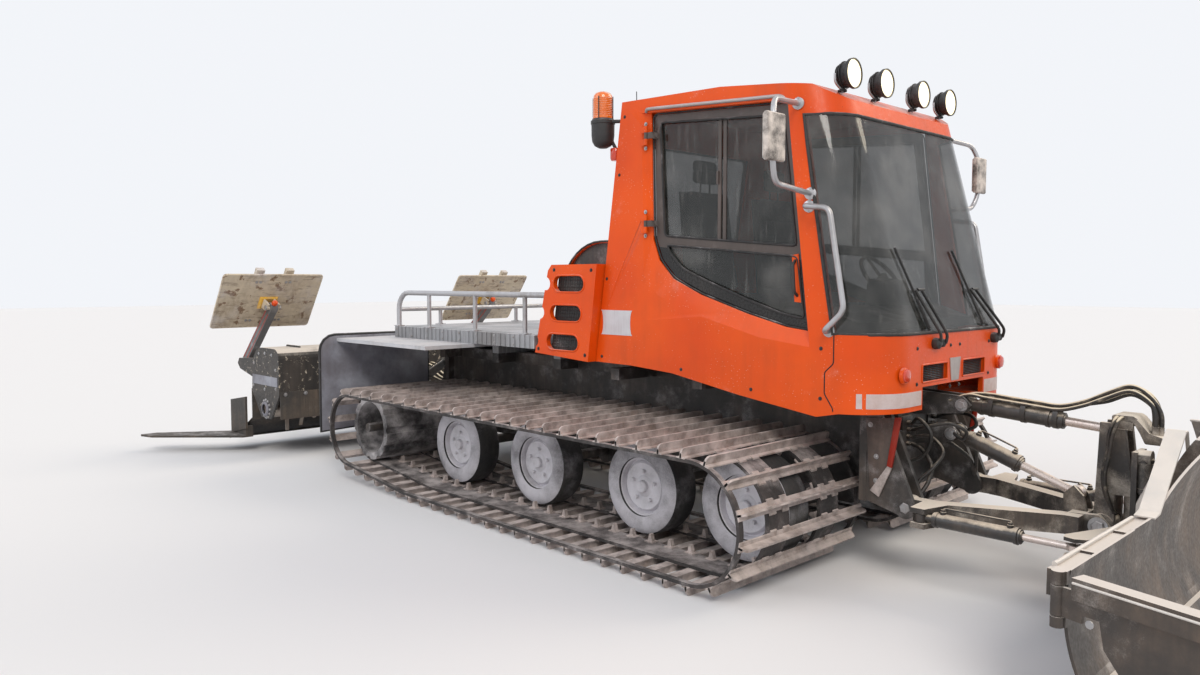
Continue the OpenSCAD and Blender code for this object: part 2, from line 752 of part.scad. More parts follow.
// Push frame: two arms that close in on the nose
module push_frame() {
  color(steel_dark) in_frame() {
    both_sides() difference() {
      union() {
        pin_y(lift_pin, push_y - push_w / 2, push_y + push_w / 2, 60);
        translate([0, 0, 380]) linear_extrude(100) polygon([[2560, push_y - push_w / 2],
          [2700, push_y - push_w / 2], [3260, 130], [3370, 130], [3370, 210], [3300, 210],
          [2760, push_y + push_w / 2], [2560, push_y + push_w / 2]]);
        // Bracket of the swing cylinder
        for (z = [swing_z - 55, swing_z + 27]) translate([0, 0, z]) linear_extrude(28)
          polygon([[2645, push_y], [2800, push_y - 20], [2740, 635], [2660, 635]]);
        pin_z(swing_anchor, swing_z - 40, swing_z + 40, 20);
      }
      pin_y(lift_pin, 0, 700, 30 + pin_gap);
    }
    box([3290, -200, 380], [3370, 200, 480]);
    // Nose forks with the mast's pin
    both_sides() from_y(95, 130) polygon([[3290, 380], [3290, 480], [3440, 490], [3495, 430], [3440, 370]]);
    pin_y(pitch_pin, -130, 130, 35);
    // Ears of the lift cylinder
    both_sides() from_y(32, 52) polygon([[3240, 560], [3290, 610], [3340, 560], [3360, 480], [3240, 470]]);
  }
}

// Cylinder barrel in the middle plane: from an anchor toward an eye
module barrel(a, b, len, r, pin_r, eye_w) {
  d = b - a;
  ang = atan2(d[1], d[0]);
  translate([a[0], 0, a[1]]) rotate([0, -ang, 0]) difference() {
    union() {
      rotate([90, 0, 0]) cylinder(h = eye_w, r = pin_r + 20, center = true);
      rotate([0, 90, 0]) cylinder(h = 100, r = 0.45 * eye_w);
      translate([pin_r + 50, 0, 0]) rotate([0, 90, 0]) cylinder(h = len - pin_r - 50, r = r);
    }
    rotate([90, 0, 0]) cylinder(h = 200, r = pin_r + pin_gap, center = true);
    translate([pin_r + 60, 0, 0]) rotate([0, 90, 0]) cylinder(h = len, r = 0.55 * r + pin_gap);
  }
}

// Its rod, from inside the barrel to the eye
module ram(a, b, start, r, eye_r, eye_w) {
  d = b - a;
  ang = atan2(d[1], d[0]);
  translate([a[0], 0, a[1]]) rotate([0, -ang, 0]) {
    translate([start, 0, 0]) rotate([0, 90, 0]) cylinder(h = norm(d) - start, r = r);
    translate([norm(d), 0, 0]) rotate([90, 0, 0]) cylinder(h = eye_w, r = eye_r, center = true);
  }
}

lift_barrel_len = 400;
upper_barrel_len = 540;
module lift_barrel() {
  color(rubber) in_frame() barrel(lift_anchor, lift_eye, lift_barrel_len, 45, 25, 80);
}

module lift_rod() {
  color(bright_steel) in_frame() ram(lift_anchor, lift_eye, 330, 0.55 * 45, 42, 50);
}

module upper_barrel() {
  color(rubber) in_frame() barrel(upper_anchor, upper_eye, upper_barrel_len, 45, 25, 80);
}

module upper_rod() {
  color(bright_steel) in_frame() ram(upper_anchor, upper_eye, 470, 0.55 * 45, 42, 60);
}

// Mast: two cheeks on the pitch pin, open between for the upper cylinder's eye
module mast() {
  color(steel_dark) in_frame() {
    difference() {
      union() {
        pin_y(pitch_pin, -90, 90, 60);
        both_sides() from_y(45, 75) polygon([[3385, 400], [3400, 520], [3415, 970], [3530, 970], [3570, 655],
          [3570, 600], [3495, 600], [3495, 380], [3570, 380], [3570, 335], [3440, 345]]);
      }
      pin_y(pitch_pin, -100, 100, 35 + pin_gap);
    }
    for (z = [[335, 380], [600, 640]]) {
      box([3490, -75, z[0]], [swing_x, 75, z[1]]);
      pin_z([swing_x, 0], z[0], z[1], 75);
    }
    pin_z([swing_x, 0], 335, 640, 40);
  }
}

module swing_barrel() {
  translate([swing_anchor[0], swing_anchor[1], swing_z]) difference() {
    union() {
      cylinder(h = 44, r = 40, center = true);
      rotate([0, 90, 0]) cylinder(h = 120, r = 20);
      translate([75, 0, 0]) rotate([0, 90, 0]) cylinder(h = 455, r = 38);
    }
    cylinder(h = 100, r = 20 + pin_gap, center = true);
    translate([85, 0, 0]) rotate([0, 90, 0]) cylinder(h = 500, r = 18 + pin_gap);
  }
}

swing_rod_len = 495;
module swing_rod() {
  translate([swing_eye[0] - swing_rod_len, swing_anchor[1], swing_z]) rotate([0, 90, 0])
    cylinder(h = swing_rod_len, r = 18);
  translate([swing_eye[0], swing_eye[1], swing_z]) cylinder(h = 26, r = 38, center = true);
}

module swing_barrel_right() {
  color(rubber) in_frame() mirror([0, 1, 0]) swing_barrel();
}

module swing_rod_right() {
  color(bright_steel) in_frame() mirror([0, 1, 0]) swing_rod();
}

module swing_barrel_left() {
  color(rubber) in_frame() swing_barrel();
}

module swing_rod_left() {
  color(bright_steel) in_frame() swing_rod();
}

// Swing head: boss on the upright pin, yoke plates out to the swing cylinders, tilt pin
module swing_head() {
  color(steel_grey) in_frame() {
    difference() {
      union() {
        pin_z([swing_x, 0], 385, 595, 60);
        for (z = [swing_z - 55, swing_z + 37]) both_sides() translate([0, 0, z]) linear_extrude(18)
          polygon([[swing_x + 82, 60], [swing_x + 120, 60], [swing_x + 120, 100], [3540, 620],
            [3490, 645], [3440, 630], [3430, 580], [swing_x + 30, 110]]);
        box([swing_x + 82, -125, swing_z - 55], [swing_x + 120, 125, swing_z + 55]);
        box([swing_x + 20, -110, 385], [swing_x + 120, 110, 595]);
      }
      pin_z([swing_x, 0], 300, 700, 40 + pin_gap);
    }
    translate([swing_x + 110, 0, tilt_z]) rotate([0, 90, 0]) cylinder(h = 90, r = 45);
    // Post and barrel of the tilt cylinder
    box([swing_x + 30, -235, 440], [swing_x + 55, -80, 860]);
    translate([swing_x + 50, tilt_top[0], tilt_top[1]]) rotate([0, 90, 0]) cylinder(h = 60, r = 40);
    difference() {
      translate([tilt_x, tilt_top[0], 650]) cylinder(h = 180, r = 36);
      translate([tilt_x, tilt_top[0], 640]) cylinder(h = 160, r = 18 + pin_gap);
    }
  }
}

module tilt_rod() {
  color(bright_steel) in_frame() {
    translate([tilt_x, tilt_low[0], tilt_low[1]]) cylinder(h = 170, r = 18);
    translate([tilt_x - 20, tilt_low[0], tilt_low[1]]) rotate([0, 90, 0]) cylinder(h = 40, r = 32);
  }
}

// Rolled sheet of the moldboard, of the given back radius
module mold_section(t_in, t_out) {
  mid_z = (blade_top + blade_low) / 2;
  difference() {
    translate([blade_back + blade_arc_r, mid_z]) circle(blade_arc_r - t_in, $fn = 96);
    translate([blade_back + blade_arc_r, mid_z]) circle(blade_arc_r - t_out, $fn = 96);
    translate([blade_back + 300, -1000]) square([3000, 4000]);
  }
}

// Front view outline of the blade: high middle, lower ends
blade_outline = [[-blade_half_w, blade_low], [blade_half_w, blade_low], [blade_half_w, wing_top],
  [950, wing_top], [580, blade_top], [-580, blade_top], [-950, wing_top], [-blade_half_w, wing_top]];

module blade() {
  rib_y = [-1400, -1000, -620, -250, 250, 620, 1000, 1400];
  color(steel_dark) in_frame() {
    intersection() {
      union() {
        along_y(2 * blade_half_w) mold_section(0, sheet_t);
        for (y = rib_y) translate([0, y, 0]) along_y(20) intersection() {
          difference() {
            translate([blade_back - 70, blade_low]) square([220, 1000]);
            translate([blade_back + blade_arc_r, (blade_top + blade_low) / 2]) circle(blade_arc_r - 2, $fn = 96);
          }
          translate([blade_back + blade_arc_r, (blade_top + blade_low) / 2]) circle(blade_arc_r + 60, $fn = 96);
        }
        box([blade_back - 60, -blade_half_w, 540], [blade_back + 12, blade_half_w, 640]);
      }
      translate([3000, 0, 0]) rotate([90, 0, 90]) linear_extrude(2000) polygon(blade_outline);
    }
    // Cutting edge
    from_y(-blade_half_w, blade_half_w) polygon([[3960, 60], [3985, 60], [3915, 200], [3890, 200]]);
    // Tilt bearing
    difference() {
      translate([swing_x + 126, 0, tilt_z]) rotate([0, 90, 0]) cylinder(h = 90, r = 90);
      translate([swing_x + 100, 0, tilt_z]) rotate([0, 90, 0]) cylinder(h = 200, r = 45 + pin_gap);
    }
    difference() {
      box([swing_x + 170, -300, 400], [blade_back + 10, 300, 640]);
      translate([swing_x + 100, 0, tilt_z]) rotate([0, 90, 0]) cylinder(h = 200, r = 45 + pin_gap);
    }
    // Lug of the tilt cylinder
    translate([tilt_x + 25, tilt_low[0] - 40, tilt_low[1] - 45]) cube([70, 80, 90]);
    // Wing hinge: two knuckles and their pin near the top
    both_sides() {
      pin_z([wing_hinge_x, blade_half_w + 30], wing_knuckle[0] - 45, wing_top, 14);
      for (z = [[wing_knuckle[0] - 45, wing_knuckle[0] - side_gap], [wing_knuckle[1] + side_gap, wing_top]]) {
        pin_z([wing_hinge_x, blade_half_w + 30], z[0], z[1], 24);
        box([wing_hinge_x - 24, blade_half_w - 20, z[0]], [wing_hinge_x + 30, blade_half_w + 30, z[1]]);
      }
    }
  }
}

// Height of a wing's hinge knuckle
wing_knuckle = [485, 595];
module wing() {
  translate([wing_hinge_x, blade_half_w + 30, 0]) rotate(wing_open) {
    difference() {
      union() {
        pin_z([0, 0], wing_knuckle[0], wing_knuckle[1], 24);
        box([0, -8, wing_knuckle[0]], [100, 8, wing_knuckle[1]]);
      }
      pin_z([0, 0], 0, 1000, 14 + pin_gap);
    }
    // Plate with its top beam; the lower rear corner is cut away
    from_y(-8, 8) polygon([[75, wing_top], [75, 515], [165, 515], [184, 420], [486, blade_low],
      [wing_len, blade_low], [wing_len, wing_top]]);
    box([75, -35, wing_top - 80], [wing_len, 35, wing_top]);
  }
}

module wing_right() {
  color(steel_dark) in_frame() mirror([0, 1, 0]) wing();
}

module wing_left() {
  color(steel_dark) in_frame() wing();
}

module hitch_frame() {
  color(steel_dark) in_frame() {
    both_sides() difference() {
      union() {
        pin_y(hitch_pin, hitch_y - hitch_w / 2, hitch_y + hitch_w / 2, 55);
        from_y(hitch_y - hitch_w / 2, hitch_y + hitch_w / 2) polygon([[-2275, 430], [-2275, 530],
          [-2700, 560], [-3060, 700], [-3060, 560], [-2700, 440]]);
      }
      pin_y(hitch_pin, 200, 420, 30 + pin_gap);
    }
    box([-3060, -390, 540], [-2980, 390, 580]);
    both_sides() box([housing_front + seat_gap, 260, 540], [-3040, 390, 720]);
    both_sides() for (y = [155, 225]) from_y(y, y + 20) polygon([[-3050, 570], [-2960, 570],
      [-2955, 640], [-3000, 685], [-3045, 640]]);
  }
}

module hitch_barrels() {
  color(rubber) in_frame() for (s = [-1, 1]) translate([0, s * 200, 0])
    mirror([1, 0, 0]) barrel([-hitch_cyl_top[0], hitch_cyl_top[1]],
      [-hitch_cyl_eye[0], hitch_cyl_eye[1]], 430, 40, 22, 56);
}

module hitch_rods() {
  color(bright_steel) in_frame() for (s = [-1, 1]) translate([0, s * 200, 0])
    mirror([1, 0, 0]) ram([-hitch_cyl_top[0], hitch_cyl_top[1]],
      [-hitch_cyl_eye[0], hitch_cyl_eye[1]], 360, 22, 36, 40);
}

// Hood over the rotor, drawn in by t
module housing_profile(t) {
  polygon(concat([[housing_front - t, 620]],
    [for (a = [0:18:90]) [housing_front - 90 + (90 - t) * cos(a), housing_top - 90 + (90 - t) * sin(a)]],
    [for (a = [90:18:162]) [housing_rear + 232 + (220 - t) * cos(a), housing_top - 220 + (220 - t) * sin(a)]],
    [[housing_rear + 1.1 * t, 620]]));
}

module tiller_housing() {
  color(steel_dark) in_frame() {
    from_y(-tiller_half_w, tiller_half_w) difference() {
      housing_profile(0);
      housing_profile(12);
      translate([-5000, 0]) square([5000, 620.1]);
    }
    both_sides() difference() {
      from_y(tiller_half_w - 20, tiller_half_w) {
        housing_profile(0);
        polygon([[housing_front, 630], [housing_rear, 630], [housing_rear, 622],
          [rotor_x - 110, 380], [rotor_x + 110, 380], [housing_front, 622]]);
      }
      pin_y([rotor_x, rotor_z], 1000, 2000, 45 + pin_gap);
    }
    // Outriggers of the track setters, with their pins
    both_sides() {
      for (y = [setter_y - 65, setter_y + 40]) from_y(y, y + 25) polygon([[-3694, 940],
        setter_pin + [-20, 55], setter_pin + [-60, 0], setter_pin + [0, -55], [-3785, 650]]);
      pin_y(setter_pin, setter_y - 65, setter_y + 65, 25);
    }
  }
}

module tiller_rotor() {
  rows = 16;
  color(bright_steel) in_frame() translate([rotor_x, 0, rotor_z]) {
    rotate([90, 0, 0]) cylinder(h = 2 * (tiller_half_w - 2), r = 45, center = true);
    rotate([90, 0, 0]) cylinder(h = 2 * (tiller_half_w - 40), r = 90, center = true);
    for (i = [0:rows - 1]) translate([0, (i - (rows - 1) / 2) * 2 * (tiller_half_w - 120) / rows, 0])
      for (k = [0:3]) rotate([0, i * 22.5 + k * 90, 0]) translate([0, -15, 80])
        cube([18, 30, rotor_r - 84]);
  }
}

module finisher() {
  color(rubber) in_frame() {
    from_y(-tiller_half_w, tiller_half_w) polygon([[housing_rear - seat_gap, 640], [housing_rear - 14, 640],
      [housing_rear - 14, 350], [-4262, 110], [-4250, 90], [housing_rear - seat_gap, 330]]);
    both_sides() {
      from_y(1600, 1620) polygon([[-3830, 240], [-3830, 560], [-4200, 500], [-4200, 160]]);
      translate([0, 0, 150]) linear_extrude(20) polygon([[-3850, 1540], [-4200, 1540], [finisher_tip[0], 2200],
        [finisher_tip[0], finisher_tip[1]], [-4480, 2300], [-3850, 1640]]);
      box([-4200, 1540, 150], [-3850, 1610, 260]);
    }
  }
}

// Setter arm: from its pin on the housing's rear outrigger to the plate's pivot
module setter_arm(s) {
  y = s * setter_y;
  difference() {
    from_y(y - 35, y + 35) {
      translate(setter_pin) circle(55);
      translate(setter_head) circle(50);
      polygon([setter_pin + [-35, 30], setter_head + [-32, 32], setter_head + [32, -32],
        setter_pin + [45, -30]]);
    }
    pin_y(setter_pin, y - 50, y + 50, 25 + pin_gap);
    pin_y(setter_head, y - 50, y + 50, 22 + pin_gap);
  }
}

plate_len = 650;
plate_lean = 37;
module setter_plate(s) {
  translate([setter_head[0], s * setter_y, setter_head[1]]) {
    rotate([90, 0, 0]) cylinder(h = 130, r = 22, center = true);
    for (d = [-1, 1]) from_y(d * 42, d * 60) polygon([[-40, -30], [40, 30], [0, 50], [-90, 90],
      [-140, 0]]);
    translate([-110, 0, 60]) rotate([0, plate_lean, 0]) {
      box([-15, -setter_w / 2, -plate_len / 2], [0, setter_w / 2, plate_len / 2]);
      for (y = [-150, 150]) box([-60, y - 40, -plate_len / 2 + 40], [-14, y + 40, plate_len / 2 + 50]);
    }
  }
}

module setter_arm_right() {
  color(steel_grey) in_frame() setter_arm(-1);
}

module setter_arm_left() {
  color(steel_grey) in_frame() setter_arm(1);
}

module setter_plate_right() {
  color(bright_steel) in_frame() setter_plate(-1);
}

module setter_plate_left() {
  color(bright_steel) in_frame() setter_plate(1);
}

chassis_frame();
track_right();
track_left();
wheel_tyres();
wheel_discs();
drive_sprockets();
engine_block();
engine_hood();
hood_skin();
side_covers();
cargo_deck();
deck_railing();
fenders();
mud_flaps();
cab_floor();
cab_side_right();
cab_side_left();
cab_rear();
cab_roof();
front_panel();
windshield();
rear_window();
seats();
dashboard();
mirrors();
grab_rails();
work_lamps();
signal_lamps();
wipers();
door_right();
door_glass_right();
door_left();
door_glass_left();
push_frame();
lift_barrel();
lift_rod();
upper_barrel();
upper_rod();
mast();
swing_barrel_right();
swing_rod_right();
swing_barrel_left();
swing_rod_left();
swing_head();
tilt_rod();
blade();
wing_right();
wing_left();
hitch_frame();
hitch_barrels();
hitch_rods();
tiller_housing();
tiller_rotor();
finisher();
setter_arm_right();
setter_arm_left();
setter_plate_right();
setter_plate_left();
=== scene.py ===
"""A tracked snow groomer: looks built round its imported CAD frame, in metres, +X forward and +Z up."""

from math import asin, atan2, copysign, cos, exp, hypot, pi, radians, sin, sqrt, tan

import bmesh
import bpy
from mathutils import Matrix, Vector


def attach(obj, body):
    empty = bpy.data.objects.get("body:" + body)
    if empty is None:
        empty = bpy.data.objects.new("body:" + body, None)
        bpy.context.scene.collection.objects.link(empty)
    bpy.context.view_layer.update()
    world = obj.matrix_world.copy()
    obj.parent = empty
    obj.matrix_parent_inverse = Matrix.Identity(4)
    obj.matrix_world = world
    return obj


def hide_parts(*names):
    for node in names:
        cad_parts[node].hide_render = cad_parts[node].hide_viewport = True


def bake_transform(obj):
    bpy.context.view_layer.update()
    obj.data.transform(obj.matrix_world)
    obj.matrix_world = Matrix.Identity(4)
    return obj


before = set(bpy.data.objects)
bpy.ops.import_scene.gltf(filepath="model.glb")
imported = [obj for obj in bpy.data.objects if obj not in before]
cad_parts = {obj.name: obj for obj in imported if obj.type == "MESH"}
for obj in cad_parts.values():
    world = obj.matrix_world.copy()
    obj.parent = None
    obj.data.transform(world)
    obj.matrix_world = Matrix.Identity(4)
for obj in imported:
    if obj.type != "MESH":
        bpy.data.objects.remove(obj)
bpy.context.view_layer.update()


# --- Chassis ----------------------------------------------------------------
# A welded tub of folded steel plate with axle stubs and cross beams, painted black.
# It works in the cold, so dust and rime lie on it; every other finish takes both from the two shared groups here.


def place(tree, kind, inputs=None, **settings):
    """A node of that kind with its settings; inputs are values or sockets, by name or number."""
    node = tree.nodes.new(kind)
    for key, value in settings.items():
        setattr(node, key, value)
    for key, value in (inputs or {}).items():
        if isinstance(value, bpy.types.NodeSocket):
            tree.links.new(value, node.inputs[key])
        else:
            node.inputs[key].default_value = value
    return node


def sum_of(tree, operation, a, b=0.0):
    """The output of a Math node on a and b."""
    return place(tree, "ShaderNodeMath", {0: a, 1: b}, operation=operation).outputs[0]


def blend_colour(tree, factor, a, b):
    """Colour a turned into b by the factor; each is a socket or red, green and blue."""
    a, b = [(*colour, 1.0) if isinstance(colour, tuple) else colour for colour in (a, b)]
    return place(tree, "ShaderNodeMix", {0: factor, 6: a, 7: b}, data_type="RGBA").outputs[2]


def slope(tree, value, low, high, to_low=0.0, to_high=1.0):
    """value between low and high, as a smooth step between to_low and to_high."""
    ends = {"Value": value, "From Min": low, "From Max": high, "To Min": to_low, "To Max": to_high}
    return place(tree, "ShaderNodeMapRange", ends, interpolation_type="SMOOTHSTEP").outputs[0]


def stretched(tree, vector, factors):
    """The vector with each part multiplied."""
    return place(tree, "ShaderNodeVectorMath", {0: vector, 1: factors}, operation="MULTIPLY").outputs[0]


def speckle(tree, vector, scale, detail=4.0, rough=0.55):
    """Noise between 0 and 1."""
    inputs = {"Vector": vector, "Scale": scale, "Detail": detail, "Roughness": rough}
    return place(tree, "ShaderNodeTexNoise", inputs).outputs["Fac"]


def sockets(tree, side, kind, *labels):
    """Named sockets on that side of a group, all of one kind."""
    for label in labels:
        tree.interface.new_socket(name=label, in_out=side, socket_type="NodeSocket" + kind)


def new_group(name, numbers, outputs):
    """An empty shader group: a Vector and these numbers in, those numbers out; its two ends' sockets."""
    tree = bpy.data.node_groups.new(name, "ShaderNodeTree")
    sockets(tree, "INPUT", "Vector", "Vector")
    sockets(tree, "INPUT", "Float", *numbers)
    sockets(tree, "OUTPUT", "Float", *outputs)
    return tree, tree.nodes.new("NodeGroupInput").outputs, tree.nodes.new("NodeGroupOutput").inputs


# Rime: a thin frost on what faces up, and a patchy veil of it on what stands upright
rime, given, made = new_group("rime", ("Cover", "Cling", "Patch"), ("Mask", "Height"))
facing = place(rime, "ShaderNodeSeparateXYZ", {0: place(rime, "ShaderNodeTexCoord").outputs["Normal"]})
upward = slope(rime, facing.outputs[2], 0.15, 0.85)
patches = speckle(rime, given["Vector"], given["Patch"], 9.0, 0.6)
grains = speckle(rime, given["Vector"], 190.0, 4.0, 0.7)
wanted = sum_of(rime, "MAXIMUM", sum_of(rime, "MULTIPLY", upward, given["Cover"]), given["Cling"])
level = sum_of(rime, "ADD", sum_of(rime, "MULTIPLY", patches, 0.8), sum_of(rime, "MULTIPLY", grains, 0.2))
mask = slope(rime, sum_of(rime, "ADD", level, wanted), 0.72, 1.12)
rime.links.new(mask, made["Mask"])
rime.links.new(sum_of(rime, "MULTIPLY", mask, grains), made["Height"])

# Grime: dull patches and downward streaks, darker or lighter than the clean finish
grime, given, made = new_group("grime", ("Size", "Amount"), ("Mask", "Fine"))
patches = speckle(grime, given["Vector"], given["Size"], 7.0, 0.6)
streaks = speckle(grime, stretched(grime, given["Vector"], (9.0, 9.0, 0.7)), given["Size"], 5.0)
soiled = sum_of(grime, "MULTIPLY", slope(grime, patches, 0.36, 0.7), slope(grime, streaks, 0.3, 0.72, 0.35))
grime.links.new(sum_of(grime, "MULTIPLY", soiled, given["Amount"]), made["Mask"])
grime.links.new(speckle(grime, given["Vector"], 60.0, 5.0), made["Fine"])

RIME_WHITE = (0.66, 0.63, 0.64)
RIME_ROUGHNESS = 0.85
BUMP_DEPTH = 0.004


def bare_finish(name, values):
    """A material with these plain values: itself, its tree, its shader and its Object coordinates."""
    material = bpy.data.materials.new(name)
    material.use_nodes = True
    tree = material.node_tree
    shader = tree.nodes["Principled BSDF"]
    for key, value in values.items():
        shader.inputs[key].default_value = value
    return material, tree, shader, place(tree, "ShaderNodeTexCoord").outputs["Object"]


def finish(name, clean, dirt, roughness, metallic=0.0, coat=0.0, dirt_size=2.5, dirt_amount=0.7, cover=0.3,
           cling=0.1, patch=5.0, bump=0.1, grain=60.0, veil=RIME_WHITE, gloss=0.5, detail=None):
    """A finish with grime and rime over it. detail(tree, vector, clean) may give a colour and a height."""
    material, tree, shader, vector = bare_finish(name, {"Metallic": metallic, "Coat Weight": coat,
                                                        "Specular IOR Level": gloss, "Coat Roughness": 0.15})
    dirty = place(tree, "ShaderNodeGroup", {"Vector": vector, "Size": dirt_size, "Amount": dirt_amount},
                  node_tree=grime)
    frosty = place(tree, "ShaderNodeGroup", {"Vector": vector, "Cover": cover, "Cling": cling, "Patch": patch},
                   node_tree=rime)
    colour, height = clean, speckle(tree, vector, grain, 3.0)
    if detail:
        colour, height = detail(tree, vector, colour)
    colour = blend_colour(tree, dirty.outputs["Mask"], colour, dirt)
    colour = blend_colour(tree, frosty.outputs["Mask"], colour, veil)
    tree.links.new(colour, shader.inputs["Base Color"])
    worn = slope(tree, dirty.outputs["Fine"], 0.3, 0.75, roughness - 0.06, roughness + 0.12)
    frosted = slope(tree, frosty.outputs["Mask"], 0.0, 1.0, 0.0, RIME_ROUGHNESS)
    tree.links.new(sum_of(tree, "MAXIMUM", worn, frosted), shader.inputs["Roughness"])
    relief = sum_of(tree, "ADD", height, frosty.outputs["Height"])
    bumps = place(tree, "ShaderNodeBump", {"Height": relief, "Strength": bump, "Distance": BUMP_DEPTH})
    tree.links.new(bumps.outputs[0], shader.inputs["Normal"])
    return material


def coat_nodes(material, *nodes):
    """These CAD nodes wear that finish."""
    for node in nodes:
        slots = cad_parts[node].data.materials
        slots.clear()
        slots.append(material)


black_steel = finish("black_steel", (0.035, 0.033, 0.032), (0.15, 0.12, 0.10), 0.48, metallic=0.1,
                     dirt_amount=0.8, cover=0.36, cling=0.22, patch=6.0, bump=0.2)
grey_steel = finish("grey_steel", (0.20, 0.205, 0.21), (0.09, 0.08, 0.07), 0.42, metallic=0.2, cling=0.2, bump=0.2)
coat_nodes(black_steel, "chassis_frame", "cab_floor")
coat_nodes(grey_steel, "engine_block")


# --- Tracks -----------------------------------------------------------------
# Rubber belts, two broad and two narrow a side, with grousers of folded light alloy bolted across them.
# Steel horns inside the lower run keep the wheels in line; all of it is rubbed bright and frosted over.

SIDES = ((-1, "right"), (1, "left"))
ROW_SHIFT = 0.11739  # the part's source measures x from a point this far behind the frame's origin
TRACK_WIDTH = 1.19
TRACK_MIDDLE = 0.955
GROUSER_COUNT = 58
GROUSER_HEIGHT = 0.055
BELT_THICK = 0.020
REAR_X, FRONT_X = -1.905 + ROW_SHIFT, 1.858 + ROW_SHIFT
TRACK_TOP = 0.750
FRONT_BEND = (TRACK_TOP - GROUSER_HEIGHT) / 2
DRIVE_BEND = 0.300
BEND_X = -1.030 + ROW_SHIFT  # where the lower run starts to rise toward the drive sprocket
BELTS = [(-0.2475, 0.195), (0.2475, 0.195), (-0.575, 0.036), (0.575, 0.036)]  # middle and width of each


def belt_line(inset, points):
    """Points (x, z) evenly spaced round the belts' outer face, or that far inside it."""
    rise = Vector((REAR_X - BEND_X, TRACK_TOP - DRIVE_BEND - GROUSER_HEIGHT))
    turn = atan2(rise.y, rise.x) + asin(DRIVE_BEND / rise.length)
    rise_length = sqrt(rise.length**2 - DRIVE_BEND**2)
    ends = [FRONT_X - REAR_X, pi * FRONT_BEND, FRONT_X - BEND_X, rise_length, DRIVE_BEND * turn]
    spots = []
    for i in range(points):
        s = i * sum(ends) / points + sum(ends) / GROUSER_COUNT / 2
        s = s % sum(ends)
        part = 0
        while s > ends[part]:
            s -= ends[part]
            part += 1
        if part == 0:
            spot = (REAR_X + s, TRACK_TOP - inset)
        elif part == 1:
            a = pi / 2 - s / FRONT_BEND
            spot = (FRONT_X + (FRONT_BEND - inset) * cos(a),
                    GROUSER_HEIGHT + FRONT_BEND + (FRONT_BEND - inset) * sin(a))
        elif part == 2:
            spot = (FRONT_X - s, GROUSER_HEIGHT + inset)
        elif part == 3:
            spot = (BEND_X + s * cos(turn), GROUSER_HEIGHT + s * sin(turn) + inset)
        else:
            a = turn + pi / 2 - s / DRIVE_BEND
            spot = (REAR_X + (DRIVE_BEND - inset) * cos(a),
                    TRACK_TOP - DRIVE_BEND + (DRIVE_BEND - inset) * sin(a))
        spots.append(spot)
    return spots


def stand(name, data):
    """A new object of that data, in the scene."""
    obj = bpy.data.objects.new(name, data)
    bpy.context.scene.collection.objects.link(obj)
    return obj


def carrier_of(name, spots, edges=(), faces=()):
    """A bare object of those points, edges and faces, for a modifier to grow on."""
    mesh = bpy.data.meshes.new(name)
    mesh.from_pydata([tuple(p) for p in spots], list(edges), list(faces))
    return stand(name, mesh)


def loops(name, line, sides):
    """Carrier of closed edge loops, one at each y."""
    count = len(line)
    edges = [(k * count + i, k * count + (i + 1) % count) for k in range(len(sides)) for i in range(count)]
    return carrier_of(name, [(x, y, z) for y in sides for x, z in line], edges)


def settled(obj):
    """The mesh that the object's modifiers make of it."""
    return bpy.data.meshes.new_from_object(obj.evaluated_get(bpy.context.evaluated_depsgraph_get()))


def shade(mesh, angle):
    """Smooth shading, sharp past that angle."""
    for polygon in mesh.polygons:
        polygon.use_smooth = True
    mesh.set_sharp_from_angle(angle=radians(angle))


def new_nodes(name, **inputs):
    """An empty geometry tree with these inputs, its input node's outputs, the path it's given and a way to end it."""
    tree = bpy.data.node_groups.new(name, "GeometryNodeTree")
    sockets(tree, "INPUT", "Geometry", "Geometry")
    for label, kind in inputs.items():
        sockets(tree, "INPUT", kind, label)
    sockets(tree, "INPUT", "Material", "Material")
    sockets(tree, "OUTPUT", "Geometry", "Geometry")
    given = tree.nodes.new("NodeGroupInput").outputs
    path = place(tree, "GeometryNodeMeshToCurve", {"Mesh": given["Geometry"]}).outputs[0]

    def end(geometry):
        whole = place(tree, "GeometryNodeRealizeInstances", {0: geometry}).outputs[0]
        dressed = place(tree, "GeometryNodeSetMaterial", {"Geometry": whole, "Material": given["Material"]})
        last = tree.nodes.new("NodeGroupOutput")
        tree.links.new(dressed.outputs[0], last.inputs[0])

    return tree, given, path, end


def grow(name, carrier, tree, values, body, soften):
    """The carrier's modifier made into a plain mesh piece that rides on that body."""
    modifier = carrier.modifiers.new(name, "NODES")
    modifier.node_group = tree
    for item in tree.interface.items_tree:
        if item.in_out == "INPUT" and item.name in values:
            modifier[item.identifier] = values[item.name]
    mesh = settled(carrier)
    bpy.data.objects.remove(carrier)
    obj = stand(name, mesh)
    shade(mesh, soften)
    if body:
        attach(obj, body)
    return obj


